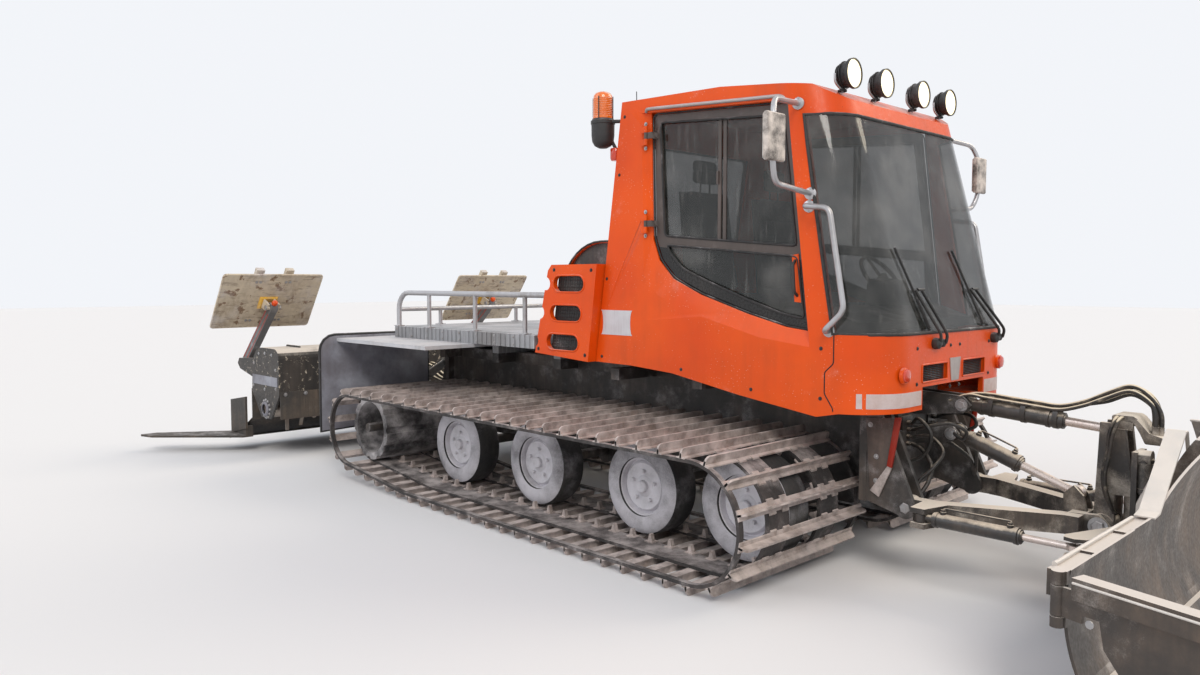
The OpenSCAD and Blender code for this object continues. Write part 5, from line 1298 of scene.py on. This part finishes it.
pipes = {}
for name, body, anchor, eye, radius, reach, pin in CYLINDERS:
    start, end_point = at(*anchor), at(*eye)
    along = (end_point - start).normalized()
    over = Vector((0, 0, 1)) - along * along.z
    over = over.normalized() if over.length > 0.1 else Vector((1, 0, 0))
    trim = bmesh.new()
    back = 0.060 if name == "upper" else 0.0  # its ring stays outside the mast's cheeks when the rod is in
    foot, foot_end, first_port = (0.085, 0.100, 0.125) if pin else (0.02, 0.035, 0.05)
    spin_along(trim, [(radius - 0.012, reach - 0.030 - back), (radius + 0.005, reach - 0.030 - back),
                      (radius + 0.006, reach - 0.012 - back), (radius - 0.002, reach - 0.008 - back)], start, along, 32)
    spin_along(trim, [(radius * 0.60, reach - 0.010), (radius * 0.80, reach - 0.002), (radius * 0.74, reach + 0.007),
                      (radius * 0.60, reach + 0.008)], start, along, 32)
    spin_along(trim, [(radius - 0.004, foot), (radius + 0.004, foot), (radius + 0.004, foot_end),
                      (radius - 0.004, foot_end)], start, along, 32)
    for port in (first_port, reach - 0.055):
        low = start + along * port + over * (radius - 0.004)
        spin_along(trim, [(0.0, 0.0), (0.016, 0.0), (0.016, 0.016), (0.012, 0.018), (0.012, 0.028), (0.0, 0.028)], low,
                   over, 16)
    add_piece("cylinder_ends_" + name, trim, barrel_black, body)
    if pin and name != "upper":
        side = Vector((0, 1, 0)) * (0.5 * radius)
        near = start + along * 0.125 + over * (radius + 0.020)
        far = start + along * (reach - 0.055) + over * (radius + 0.020)
        pipe = rounded([near, near + side + over * 0.006, far + side + over * 0.006, far], 0.02)
        pipes.setdefault(body, []).append(pipe)
for body, lines in pipes.items():
    tubes("cylinder_pipes_" + body, lines, 0.0055, barrel_black, body, sides=8)

# Pins with a washer and a nut at both ends
pins = {}
for body, x, z, half, radius in (
        ("vehicle", 2.560, 0.430, 0.492, 0.030), ("vehicle", 2.620, 0.810, 0.078, 0.024),
        ("vehicle", 2.680, 0.985, 0.078, 0.024), ("push_arms", 3.440, 0.430, 0.132, 0.033),
        ("vehicle", -2.275, 0.480, 0.346, 0.029)):
    shape = pins.setdefault(body, bmesh.new())
    washer = [(radius * 0.5, -0.004), (radius * 1.5, -0.004), (radius * 1.5, 0.003), (radius * 0.5, 0.003)]
    nut = [(0.0, 0.0), (radius * 1.05, 0.0), (radius * 1.05, 0.012), (radius * 0.9, 0.015), (0.0, 0.015)]
    for side in (-1, 1):
        for profile, steps in ((washer, 28), (nut, 6)):
            spin_along(shape, profile, at(x, side * half, z), (0, side, 0), steps)
for body, shape in pins.items():
    add_piece("pin_nuts_" + body, shape, zinc_bolts, body, smooth=30.0)

# Hose bundle strapped on the upper cylinder: five hoses from under the nose, arching over to the mast's head
hose_rubber = finish("hose_rubber", (0.018, 0.017, 0.016), (0.12, 0.09, 0.07), 0.55, dirt_size=9.0, dirt_amount=0.5,
                     cover=1.0, cling=0.24, patch=12.0, bump=0.3, grain=220.0, veil=(0.80, 0.69, 0.52))
plain_hose = finish("plain_hose", (0.016, 0.015, 0.014), (0.09, 0.07, 0.06), 0.5, dirt_size=9.0, cover=0.35, cling=0.08,
                    patch=12.0, bump=0.25, grain=220.0, veil=(0.60, 0.52, 0.42))
BARREL = (at(2.680, 0.0, 0.985), at(3.474, 0.0, 0.926))
BARREL_AXIS = (BARREL[1] - BARREL[0]).normalized()
BARREL_UP = Vector((-BARREL_AXIS.z, 0, BARREL_AXIS.x))


def on_barrel(reach, side, up):
    """A point beside the upper cylinder's middle line, that far from its anchor."""
    return BARREL[0] + BARREL_AXIS * reach + Vector((0, side, 0)) + BARREL_UP * up


def smooth_path(points, step=0.012):
    """An even path on a curve through the points."""
    path = []
    line = [2 * points[0] - points[1]] + points + [2 * points[-1] - points[-2]]
    for a, b, c, d in zip(line, line[1:], line[2:], line[3:]):
        count = max(2, int((c - b).length / step))
        for k in range(count):
            t = k / count
            path.append(0.5 * (2 * b + (c - a) * t + (2 * a - 5 * b + 4 * c - d) * t * t
                               + (3 * b - a - 3 * c + d) * t**3))
    return path + [points[-1]]


def hose(name, points, radius, body, fill=hose_rubber, bend=None):
    """A free hose on a curve through the points, on that body; given a bend, it rides on no body and its mesh holds its
    place; the bend's second body and points are not used.
    """
    path = smooth_path(points)
    piece = tubes(name, [path], radius, fill, None if bend else body, sides=12)
    if bend:
        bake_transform(piece)
    return piece


clamps = bmesh.new()
ring = []
for a in turns(32):
    out_y, out_z = 0.050 * cos(a), 0.050 * sin(a)
    ring.append((out_y * 1.05, out_z * 1.75) if out_z > 0 else (out_y, out_z))
for reach in (0.150, 0.330, 0.500):
    middle = on_barrel(reach, 0.0, 0.0)
    rings = [[clamps.verts.new(middle + BARREL_AXIS * d + Vector((0, u, 0)) * s + BARREL_UP * w * s) for u, w in ring]
             for d, s in ((-0.013, 1.0), (0.013, 1.0), (0.013, 0.94), (-0.013, 0.94))]
    bridge(clamps, rings + rings[:1])
add_piece("hose_clamps", clamps, barrel_black, "upper_cylinder")
ARCHES = [  # side on the barrel, height over its middle, height of the arch, where its end stands (x, side, z)
    (-0.036, 0.058, 1.140, (3.664, -0.052, 0.925)), (-0.012, 0.061, 1.120, (3.650, -0.018, 0.925)),
    (0.012, 0.061, 1.155, (3.668, 0.018, 0.925)), (0.036, 0.058, 1.130, (3.652, 0.052, 0.925)),
    (-0.022, 0.080, 1.165, (3.686, -0.034, 0.925)),
]
for number, (side, up, top, (end_x, end_y, end_z)) in enumerate(ARCHES):
    line = [on_barrel(-0.080, side * 1.6, 0.010), on_barrel(0.020, side * 1.3, 0.060), on_barrel(0.120, side, up),
            on_barrel(0.250, side, up), on_barrel(0.400, side, up), on_barrel(0.520, side * 1.1, up + 0.004),
            on_barrel(0.640, side * 1.2, up + 0.050)]
    line += [at(3.430, side * 1.2, top - 0.045), at(3.540, 0.5 * (side + end_y), top), at(3.625, end_y, top - 0.040),
             at(end_x - 0.004, end_y, end_z + 0.110), at(end_x, end_y, end_z)]
    hose("arch_hose_%d" % (number + 1), line, 0.0105, "upper_cylinder",
         bend=("upper_ram", on_barrel(0.560, 0.0, 0.0), at(3.600, 0.0, 0.98)))
cap = bmesh.new()
block = [(3.470, 0.990), (3.575, 0.990), (3.625, 0.880), (3.712, 0.880), (3.712, 0.925), (3.640, 0.932),
         (3.590, 1.006), (3.570, 1.018), (3.480, 1.018), (3.470, 1.010)]
slab(cap, block, "y", -0.082, 0.082)
for side in (-1, 1):
    box(cap, (3.470, 3.572), (side * 0.0755, side * 0.082), (0.945, 0.995))
ease(cap, 0.006, 2)
for arch in ARCHES:
    spin_along(cap, [(0.0, 0.0), (0.017, 0.0), (0.017, 0.018), (0.0145, 0.022), (0.0145, 0.045), (0.0, 0.045)],
               at(*arch[3][:2], 0.924), (0, 0, 1), 6)
add_piece("hose_block", cap, caked_steel, "mast_body", smooth=30.0)

# Two hoses drop down the mast's side to the head
for number, (y, bow) in enumerate(((-0.092, 0.030), (-0.118, 0.048))):
    foot = 3.496 + 0.024 * number
    line = [at(foot, -0.074, 1.004), at(foot, y - 0.008, 1.002), at(foot - 0.008, y - 0.026, 0.968),
            at(foot - 0.024, y - 0.026, 0.915), at(3.435 + bow, y - 0.020, 0.820), at(3.415 + bow, y - 0.012, 0.700),
            at(3.425 + bow, y, 0.600), at(3.470 + bow * 0.5, y + 0.016, 0.530), at(3.480 + bow * 0.5, -0.070, 0.500)]
    hose("mast_hose_%d" % (number + 1), line, 0.0095, "mast_body")

# A tangle of thin hoses from the valve block under the nose, round the lift cylinder's foot
valve = bmesh.new()
box(valve, (2.326, 2.400), (-0.235, -0.110), (0.700, 0.900))
box(valve, (2.326, 2.390), (0.110, 0.225), (0.720, 0.880))
for side in (-1, 1):
    for k in range(4):
        spin_along(valve, [(0.0, 0.0), (0.016, 0.0), (0.016, 0.020), (0.011, 0.024), (0.011, 0.040), (0.0, 0.040)],
                   at(2.398 if side < 0 else 2.388, side * 0.170, 0.735 + 0.042 * k), (1, 0, 0), 6)
add_piece("valve_blocks", valve, barrel_black, smooth=30.0)

# A wide brace on the head carries the tilt cylinder's foot; a round cap closes the mast
bright_bar = finish("bright_bar", (0.62, 0.58, 0.54), (0.34, 0.28, 0.24), 0.35, metallic=0.4, dirt_size=9.0,
                    cover=0.55, cling=0.3, patch=9.0, veil=(0.80, 0.75, 0.70))
brace = bmesh.new()
for low, high in ((-0.232, -0.216), (-0.105, -0.090)):
    slab(brace, [(3.615, 0.482), (3.655, 0.482), (3.768, 0.790), (3.768, 0.850), (3.735, 0.850), (3.615, 0.560)], "y",
         low, high)
ease(brace, 0.004, 1)
add_piece("head_brace", brace, bright_bar, "head", smooth=30.0)
TANGLE = [  # points (x, y, z) of each hose and its radius
    ([(2.43, -0.170, 0.735), (2.50, -0.190, 0.715), (2.58, -0.230, 0.640), (2.60, -0.300, 0.560),
      (2.585, -0.350, 0.500)], 0.009),
    ([(2.43, -0.170, 0.777), (2.53, -0.150, 0.790), (2.63, -0.190, 0.720), (2.62, -0.280, 0.640), (2.56, -0.330, 0.560),
      (2.555, -0.370, 0.495)], 0.008),
    ([(2.43, -0.170, 0.819), (2.52, -0.200, 0.850), (2.64, -0.150, 0.880), (2.72, -0.100, 0.840), (2.70, -0.085, 0.790),
      (2.640, -0.083, 0.815)], 0.008),
    ([(2.43, -0.170, 0.861), (2.50, -0.230, 0.900), (2.58, -0.240, 0.820), (2.54, -0.230, 0.700), (2.43, -0.250, 0.640),
      (2.340, -0.260, 0.660)], 0.008),
    ([(2.42, 0.170, 0.735), (2.50, 0.200, 0.700), (2.59, 0.260, 0.610), (2.59, 0.340, 0.500)], 0.009),
    ([(2.42, 0.170, 0.777), (2.54, 0.150, 0.800), (2.66, 0.140, 0.740), (2.64, 0.240, 0.640),
      (2.58, 0.370, 0.495)], 0.008),
    ([(2.42, 0.170, 0.861), (2.53, 0.160, 0.900), (2.66, 0.110, 0.900), (2.70, 0.085, 0.850),
      (2.640, 0.083, 0.812)], 0.008),
]
for number, (points, radius) in enumerate(TANGLE):
    hose("nose_hose_%d" % (number + 1), [at(*p) for p in points], radius * 1.35, "vehicle", plain_hose)


# --- Deflectors -------------------------------------------------------------
# A pressed plate bolted outside each front cheek keeps what the track throws off the hoses.
# Its front edge is folded over and painted red; rime has caught on its lower corner.

DEFLECTOR_Y = 0.505
deflector_red = finish("deflector_red", (0.30, 0.022, 0.010), (0.14, 0.06, 0.04), 0.45, dirt_size=6.0,
                       dirt_amount=0.5, cover=0.4, cling=0.12, patch=7.0, gloss=0.35)
deflector_brown = finish("deflector_brown", (0.075, 0.058, 0.050), (0.20, 0.14, 0.11), 0.55, dirt_size=4.0,
                         dirt_amount=0.8, cover=0.4, cling=0.20, patch=6.0, bump=0.25)
DEFLECTOR = {  # outline (x, z), its thickness and its finish
    "plate": ([(2.316, 0.915), (2.512, 0.936), (2.462, 0.660), (2.400, 0.500), (2.345, 0.512)], 0.004, deflector_brown),
    "edge": ([(2.500, 0.938), (2.536, 0.942), (2.486, 0.650), (2.456, 0.656)], 0.016, deflector_red),
    "corner": ([(2.457, 0.655), (2.485, 0.649), (2.408, 0.470), (2.352, 0.500)], 0.012, frosted_alloy),
}
for side, word in SIDES:
    for part, (outline, thick, fill) in DEFLECTOR.items():
        pressed = bmesh.new()
        slab(pressed, outline, "y", side * DEFLECTOR_Y, side * (DEFLECTOR_Y + thick))
        ease(pressed, 0.0015, 2)
        add_piece("deflector_%s_%s" % (part, word), pressed, fill, smooth=30.0)
    bolts("deflector_bolts_" + word, [(at(x, side * (DEFLECTOR_Y + 0.004), z), (0, side, 0))
                                      for x, z in ((2.345, 0.880), (2.385, 0.700), (2.385, 0.560))],
          0.008, zinc_bolts)


# --- Blade ------------------------------------------------------------------
# A moldboard of rolled steel on ribs and a torque beam, with bolted cutting edges and a hinged wing at each end.
# Snow has scoured the faces; rime lies thick on the beam and along every top edge.

WING_HINGE = at(3.790, 1.730, 0.0)
WING_OPEN = radians(16)

scoured_steel = finish("scoured_steel", (0.055, 0.048, 0.044), (0.24, 0.17, 0.12), 0.45, metallic=0.35, dirt_size=2.2,
                       dirt_amount=0.6, cover=0.80, cling=0.22, patch=4.0, bump=0.25, veil=(0.74, 0.68, 0.63))
coat_nodes(scoured_steel, "wing_right", "wing_left")
edge_bolts = [(at(3.9385, y, 0.128), (-0.9, 0, -0.45)) for y in (-1.62 + 0.18 * k for k in range(19))]
bolts("cutting_edge_bolts", edge_bolts, 0.012, zinc_bolts, "blade_body")

# The raised middle falls to the wings' height along a slanted edge, which a broad flange stiffens
shoulders, flange = bmesh.new(), bmesh.new()
for side in (-1, 1):
    slab(shoulders, [(side * 0.235, 1.060), (side * 0.235, 0.9795), (side * 0.620, 0.6560), (side * 0.980, 0.6560),
                     (side * 0.980, 1.060)], "x", 3.60, 4.10)
    slab(flange, [(side * 0.205, 0.9815), (side * 0.232, 0.9815), (side * 0.618, 0.6585), (side * 0.700, 0.6515),
                  (side * 0.700, 0.6605), (side * 0.622, 0.6690), (side * 0.236, 0.9915), (side * 0.205, 0.9915)], "x",
         3.752, 3.838)
carve("blade_carved", "blade", shoulders, scoured_steel, "blade_body")
ease(flange, 0.002, 1)
add_piece("blade_flanges", flange, bright_bar, "blade_body", smooth=20.0)
rails = []
for side in (-1, 1):
    rails.append([at(3.752, side * 0.720, 0.648), at(3.752, side * 1.660, 0.648)])
    rails.append([at(3.745, side * 0.290, 0.660), at(3.745, side * 0.185, 0.930)])
tubes("blade_rails", rails, 0.010, bright_bar, "blade_body", sides=8)
wing_turn = Matrix.Rotation(WING_OPEN, 4, "Z")
for side, word in SIDES:
    wing_body = "wing_%s_body" % word

    def on_wing(u, v, z):
        """A point on a wing: along it from its hinge, out of its face toward the rear, and up."""
        p = wing_turn @ Vector((u, v, 0.0)) + WING_HINGE
        return Vector((p.x, side * p.y, z))

    twin = [[on_wing(0.080, -0.036, z), on_wing(0.636, -0.036, z)] for z in (0.586, 0.622)]
    twin.append([on_wing(0.080, 0.036, 0.632), on_wing(0.636, 0.036, 0.632)])
    tubes("wing_lines_" + word, twin, 0.005, bright_bar, wing_body, sides=8)
    rivets = [(on_wing(0.12 + 0.085 * k, -0.008, 0.515 - 0.03 * (k == 0)), on_wing(0, -1, 0) - on_wing(0, 0, 0))
              for k in range(6)]
    bolts("wing_bolts_" + word, rivets, 0.008, zinc_bolts, wing_body)


# --- Tiller -----------------------------------------------------------------
# A housing of folded sheet over a toothed rotor, hung on the rear hitch, with a rubber curtain and finisher combs.
# Its end plates are bolted on; the teeth are worn bright, and the rubber is grey with frost.

TILLER_HALF = 1.560
HOUSING_REAR, HOUSING_FRONT, HOUSING_TOP = -3.800, -3.180, 1.060
ROTOR = (-3.480, 0.470)
FINISHER_EDGE = -4.256


def flaked(tree, vector, clean):
    """Flakes of rime and bare primer on a dark coat."""
    flakes = slope(tree, speckle(tree, vector, 21.0, 7.0, 0.75), 0.60, 0.63)
    return blend_colour(tree, flakes, clean, (0.62, 0.54, 0.43)), sum_of(tree, "MULTIPLY", flakes, 1.5)


tiller_dark = finish("tiller_dark", (0.026, 0.024, 0.023), (0.10, 0.08, 0.065), 0.5, metallic=0.1, dirt_size=2.0,
                     dirt_amount=0.6, cover=0.60, cling=0.12, patch=4.0, bump=0.3, veil=(0.66, 0.60, 0.54),
                     detail=flaked)
tooth_steel = finish("tooth_steel", (0.36, 0.31, 0.27), (0.22, 0.12, 0.07), 0.4, metallic=0.8, dirt_size=9.0,
                     cling=0.22, patch=9.0, bump=0.25)
curtain_rubber = finish("curtain_rubber", (0.035, 0.032, 0.030), (0.15, 0.11, 0.08), 0.65, dirt_size=3.0,
                        cover=0.34, cling=0.16, patch=9.0, bump=0.3, veil=(0.40, 0.37, 0.36))
coat_nodes(tiller_dark, "tiller_housing")
coat_nodes(tooth_steel, "tiller_rotor")
coat_nodes(curtain_rubber, "finisher")

end_bolts, strips = [], bmesh.new()
for side in (-1, 1):
    face = side * (TILLER_HALF + 0.0003)
    end_bolts += [(at(ROTOR[0] + 0.085 * cos(a), face, ROTOR[1] + 0.085 * sin(a)), (0, side, 0)) for a in turns(12)]
    end_bolts += [(at(x, face, z), (0, side, 0)) for x, z in (
        (-3.250, 0.680), (-3.250, 0.860), (-3.330, 1.000), (-3.480, 1.010), (-3.620, 1.000), (-3.740, 0.900),
        (-3.760, 0.680), (-3.500, 0.660))]
    box(strips, (HOUSING_REAR + 0.030, HOUSING_FRONT - 0.030),
        (side * TILLER_HALF, side * (TILLER_HALF + 0.006)), (0.700, 0.790))
    spin_along(strips, [(0.047, 0.0), (0.068, 0.0), (0.072, 0.010), (0.060, 0.022), (0.047, 0.022)],
               at(ROTOR[0], side * TILLER_HALF, ROTOR[1]), (0, side, 0), 36)
add_piece("tiller_end_strips", strips, flap_grey, "tiller")
skirt = bmesh.new()
slab(skirt, [(HOUSING_FRONT - 0.004, 0.655), (HOUSING_FRONT + 0.006, 0.655), (HOUSING_FRONT + 0.010, 0.395),
             (HOUSING_FRONT, 0.395)], "y", -1.552, 1.552)
add_piece("front_skirt", skirt, curtain_rubber, "tiller")
bolts("front_skirt_bolts", [(at(HOUSING_FRONT + 0.0055, -1.50 + 0.20 * k, 0.630), (1, 0, 0)) for k in range(16)], 0.010,
      zinc_bolts, "tiller")
bolts("tiller_end_bolts", end_bolts, 0.008, zinc_bolts, "tiller")
ribs = bmesh.new()
for y in (-1.30, -0.90, -0.50, 0.50, 0.90, 1.30):
    slab(ribs, [(HOUSING_FRONT - 0.090, HOUSING_TOP - 0.001), (HOUSING_REAR + 0.232, HOUSING_TOP - 0.001),
                (HOUSING_REAR + 0.240, HOUSING_TOP + 0.018), (HOUSING_FRONT - 0.100, HOUSING_TOP + 0.018)],
         "y", y - 0.006, y + 0.006)
add_piece("tiller_ribs", ribs, tiller_dark, "tiller")

# Comb: flat rubber fingers along the curtain's end, by Geometry Nodes
finger = bmesh.new()
prism(finger, [(-0.014, 0.0), (0.014, 0.0), (0.014, -0.085), (0.007, -0.110), (-0.007, -0.110), (-0.014, -0.085)], "y",
      -0.006, 0.006)
finger_shape = bpy.data.objects.new("finger_shape", as_mesh("finger_shape", finger))
comb_tree, given, path, end = new_nodes("comb_on_line", Count="Int", Lean="Vector", Shape="Object")
stops = place(comb_tree, "GeometryNodeResampleCurve", {"Curve": path, "Count": given["Count"]}).outputs[0]
shape = place(comb_tree, "GeometryNodeObjectInfo", {"Object": given["Shape"]}).outputs["Geometry"]
end(place(comb_tree, "GeometryNodeInstanceOnPoints",
          {"Points": stops, "Instance": shape, "Rotation": given["Lean"]}).outputs[0])
comb_line = [at(FINISHER_EDGE + 0.055, y, 0.1560) for y in (-1.540, 1.540)]
grow("finisher_fingers", carrier_of("finisher_fingers", comb_line, [(0, 1)]), comb_tree,
     {"Count": 88, "Lean": (0.0, *arc(64, 90)), "Shape": finger_shape, "Material": curtain_rubber}, "tiller", 30)
batten = bmesh.new()
slab(batten, [(HOUSING_REAR - 0.0143, 0.560), (HOUSING_REAR - 0.0143, 0.620), (HOUSING_REAR - 0.020, 0.615),
              (HOUSING_REAR - 0.020, 0.565)], "y", -1.550, 1.550)
add_piece("curtain_batten", batten, bright_bar, "tiller")
bolts("batten_bolts", [(at(HOUSING_REAR - 0.020, -1.50 + 0.15 * k, 0.590), (-1, 0, 0)) for k in range(21)], 0.008,
      zinc_bolts, "tiller")

# Hoses from the chassis' rear bulkhead run back to the hitch; they ride on no body
for number, y in enumerate((-0.070, -0.020, 0.030, 0.080)):
    line = [at(x, y * spread, z) for x, spread, z in (
        (-2.212, 1.0, 0.860 - 0.010 * number), (-2.290, 1.0, 0.850), (-2.420, 1.2, 0.740), (-2.560, 1.3, 0.690),
        (-2.760, 1.4, 0.720), (-2.950, 1.5, 0.790), (-3.120, 1.5, 0.830), (-3.192, 1.5, 0.830))]
    hose("tiller_hose_%d" % (number + 1), line, 0.011, "vehicle",
         bend=("tiller", at(-2.230, 0, 0.85), at(-3.050, 0, 0.80)))


# --- Track setters ----------------------------------------------------------
# Two spring-loaded sleds of worn pale sheet with a pair of keels, folded up over the tiller on box arms.
# The bracket is yellow with an orange cap, and the arm's edges are painted red.

SETTER_Y, SETTER_HALF, PLATE_LENGTH = 1.350, 0.500, 0.650
SETTER_HEAD, SETTER_PIN = (-3.760, 1.440), (-4.450, 0.840)
PLATE_LEAN = radians(37)


def scratched(tree, vector, clean):
    """Bare and rusty scratches down a pale coat."""
    lines = slope(tree, speckle(tree, stretched(tree, vector, (26.0, 3.0, 5.0)), 2.2, 8.0, 0.7), 0.53, 0.60)
    spots = slope(tree, speckle(tree, vector, 9.0, 7.0, 0.65), 0.57, 0.62)
    colour = blend_colour(tree, sum_of(tree, "MULTIPLY", lines, 0.6), clean, (0.28, 0.22, 0.17))
    return blend_colour(tree, spots, colour, (0.24, 0.15, 0.09)), speckle(tree, vector, 70.0)


pale_sled = finish("pale_sled", (0.66, 0.57, 0.43), (0.20, 0.13, 0.08), 0.5, dirt_size=3.0, dirt_amount=0.6,
                   cover=0.4, cling=0.24, bump=0.15, detail=scratched)
box_grey = finish("box_grey", (0.17, 0.17, 0.175), (0.10, 0.08, 0.07), 0.45, metallic=0.2, dirt_size=5.0,
                  cover=0.4, cling=0.2, patch=8.0)
yellow_paint = finish("yellow_paint", (0.72, 0.40, 0.03), (0.30, 0.16, 0.05), 0.4, coat=0.3, dirt_size=8.0,
                      cover=0.4, cling=0.2)
red_paint = finish("red_paint", (0.52, 0.035, 0.012), (0.22, 0.05, 0.03), 0.4, coat=0.3, dirt_size=8.0, cling=0.15)
coat_nodes(box_grey, "setter_arm_right", "setter_arm_left")
coat_nodes(pale_sled, "setter_plate_right", "setter_plate_left")
arm = Vector((SETTER_HEAD[0] - SETTER_PIN[0], 0.0, SETTER_HEAD[1] - SETTER_PIN[1])).normalized()
arm_out = Vector((-arm.z, 0.0, arm.x))
sled_turn = Matrix.Rotation(PLATE_LEAN, 4, "Y")
for side, word in SIDES:
    arm_body, plate_body = "setter_arm_%s_body" % word, "setter_plate_%s_body" % word
    head, foot = [at(x, side * SETTER_Y, z) for x, z in (SETTER_HEAD, SETTER_PIN)]
    stripes = []
    for across in (-1, 1):
        for dy in (-0.0345, 0.0345):
            offset = arm_out * (across * 0.030) + Vector((0, dy, 0))
            stripes.append([foot + arm * 0.075 + offset, head - arm * 0.070 + offset])
    tubes("arm_edges_" + word, stripes, 0.0045, red_paint, arm_body, sides=8)
    nuts = bmesh.new()
    for dy in (-0.066, 0.066):
        spin_along(nuts, [(0.0, 0.0), (0.026, 0.0), (0.026, 0.010), (0.022, 0.013), (0.0, 0.013)],
                   head + Vector((0, dy, 0)), (0, copysign(1, dy), 0), 6)
    add_piece("setter_nuts_" + word, nuts, zinc_bolts, plate_body, smooth=30.0)

    def on_sled(u, v, w):
        """A point on a sled: out of its face, across it and up it."""
        return head + Vector((-0.110, 0, 0.060)) + (sled_turn @ Vector((u, v, w)))

    rim = [on_sled(-0.0075, v, w) for v, w in ((-SETTER_HALF, -PLATE_LENGTH / 2), (SETTER_HALF, -PLATE_LENGTH / 2),
                                               (SETTER_HALF, PLATE_LENGTH / 2), (-SETTER_HALF, PLATE_LENGTH / 2))]
    tubes("sled_rim_" + word, [rounded(rim, 0.03, closed=True)], 0.011, pale_sled, plate_body, closed=True,
          sides=10)
    saddle = bmesh.new()
    rings = [[saddle.verts.new(on_sled(u, v, w)) for v, w in ((-half, low), (half, low), (half, high), (-half, high))]
             for u, half, low, high in ((0.001, 0.095, -0.090, 0.060), (0.020, 0.075, -0.075, 0.045))]
    bridge(saddle, rings)
    saddle.faces.new(rings[1])
    saddle.faces.new(list(reversed(rings[0])))
    add_piece("sled_bracket_" + word, saddle, yellow_paint, plate_body)
    knob = bmesh.new()
    spin_along(knob, [(0.0, 0.0), (0.026, 0.0), (0.030, 0.012), (0.026, 0.034), (0.012, 0.044), (0.0, 0.045)],
               head + arm * 0.052, arm, 24)
    add_piece("arm_cap_" + word, knob, orange_paint, arm_body)
    sled_bolts = [(on_sled(0.0005, v, w), on_sled(1, 0, 0) - on_sled(0, 0, 0))
                  for v in (-0.170, -0.130, 0.130, 0.170) for w in (-0.240, 0.240)]
    bolts("sled_bolts_" + word, sled_bolts, 0.008, zinc_bolts, plate_body)


# --- Stage ------------------------------------------------------------------
# A pale floor under soft studio light, seen from where the photograph was taken.

CAMERA_PLACE = Vector((4.935 + ROW_SHIFT, -5.15, 1.705))
CAMERA_FORWARD = Vector((-0.7203, 0.6907, -0.0634))
CAMERA_LENS = 26.7  # mm, on a 36 mm wide sensor
FLOOR_HALF = 60.0

scene = bpy.context.scene
scene.view_settings.view_transform = "Standard"
camera_data = bpy.data.cameras.new("camera")
camera_data.lens = CAMERA_LENS
camera_data.sensor_width = 36.0
camera_data.clip_end = 500.0
camera = stand("camera", camera_data)
camera.location = CAMERA_PLACE
camera.rotation_euler = CAMERA_FORWARD.to_track_quat("-Z", "Y").to_euler()
scene.camera = camera

floor = carrier_of("floor", [(FLOOR_HALF * x, FLOOR_HALF * y, 0) for x, y in ((-1, -1), (1, -1), (1, 1), (-1, 1))],
                   faces=[(0, 1, 2, 3)])
floor.data.materials.append(bare_finish("floor_pale", {"Base Color": (0.80, 0.80, 0.82, 1.0), "Roughness": 0.9})[0])

world = bpy.data.worlds.new("studio")
world.use_nodes = True
scene.world = world
sky = world.node_tree
backdrop = sky.nodes["Background"]
rays = place(sky, "ShaderNodeLightPath").outputs
seen = sum_of(sky, "MAXIMUM", rays["Is Camera Ray"],
              sum_of(sky, "MAXIMUM", rays["Is Glossy Ray"], rays["Is Transmission Ray"]))
sky.links.new(slope(sky, seen, 0.0, 1.0, 0.55, 0.95), backdrop.inputs["Strength"])
backdrop.inputs["Color"].default_value = (0.94, 0.96, 1.0, 1.0)

LAMPS = [  # name, the place it shines from, strength, how wide it looks, colour
    ("key", (7.0, -6.0, 8.0), 1.45, 26.0, (1.0, 0.95, 0.88)),
    ("fill", (-5.0, -8.0, 6.0), 0.60, 40.0, (0.88, 0.93, 1.0)),
    ("back", (4.0, 8.0, 7.0), 1.00, 30.0, (1.0, 0.88, 0.70)),
]
for name, spot, strength, spread, colour in LAMPS:
    lamp_data = bpy.data.lights.new(name, "SUN")
    lamp_data.energy = strength
    lamp_data.angle = radians(spread)
    lamp_data.color = colour
    lamp = stand(name, lamp_data)
    lamp.location = spot
    lamp.rotation_euler = (-Vector(spot)).to_track_quat("-Z", "Y").to_euler()
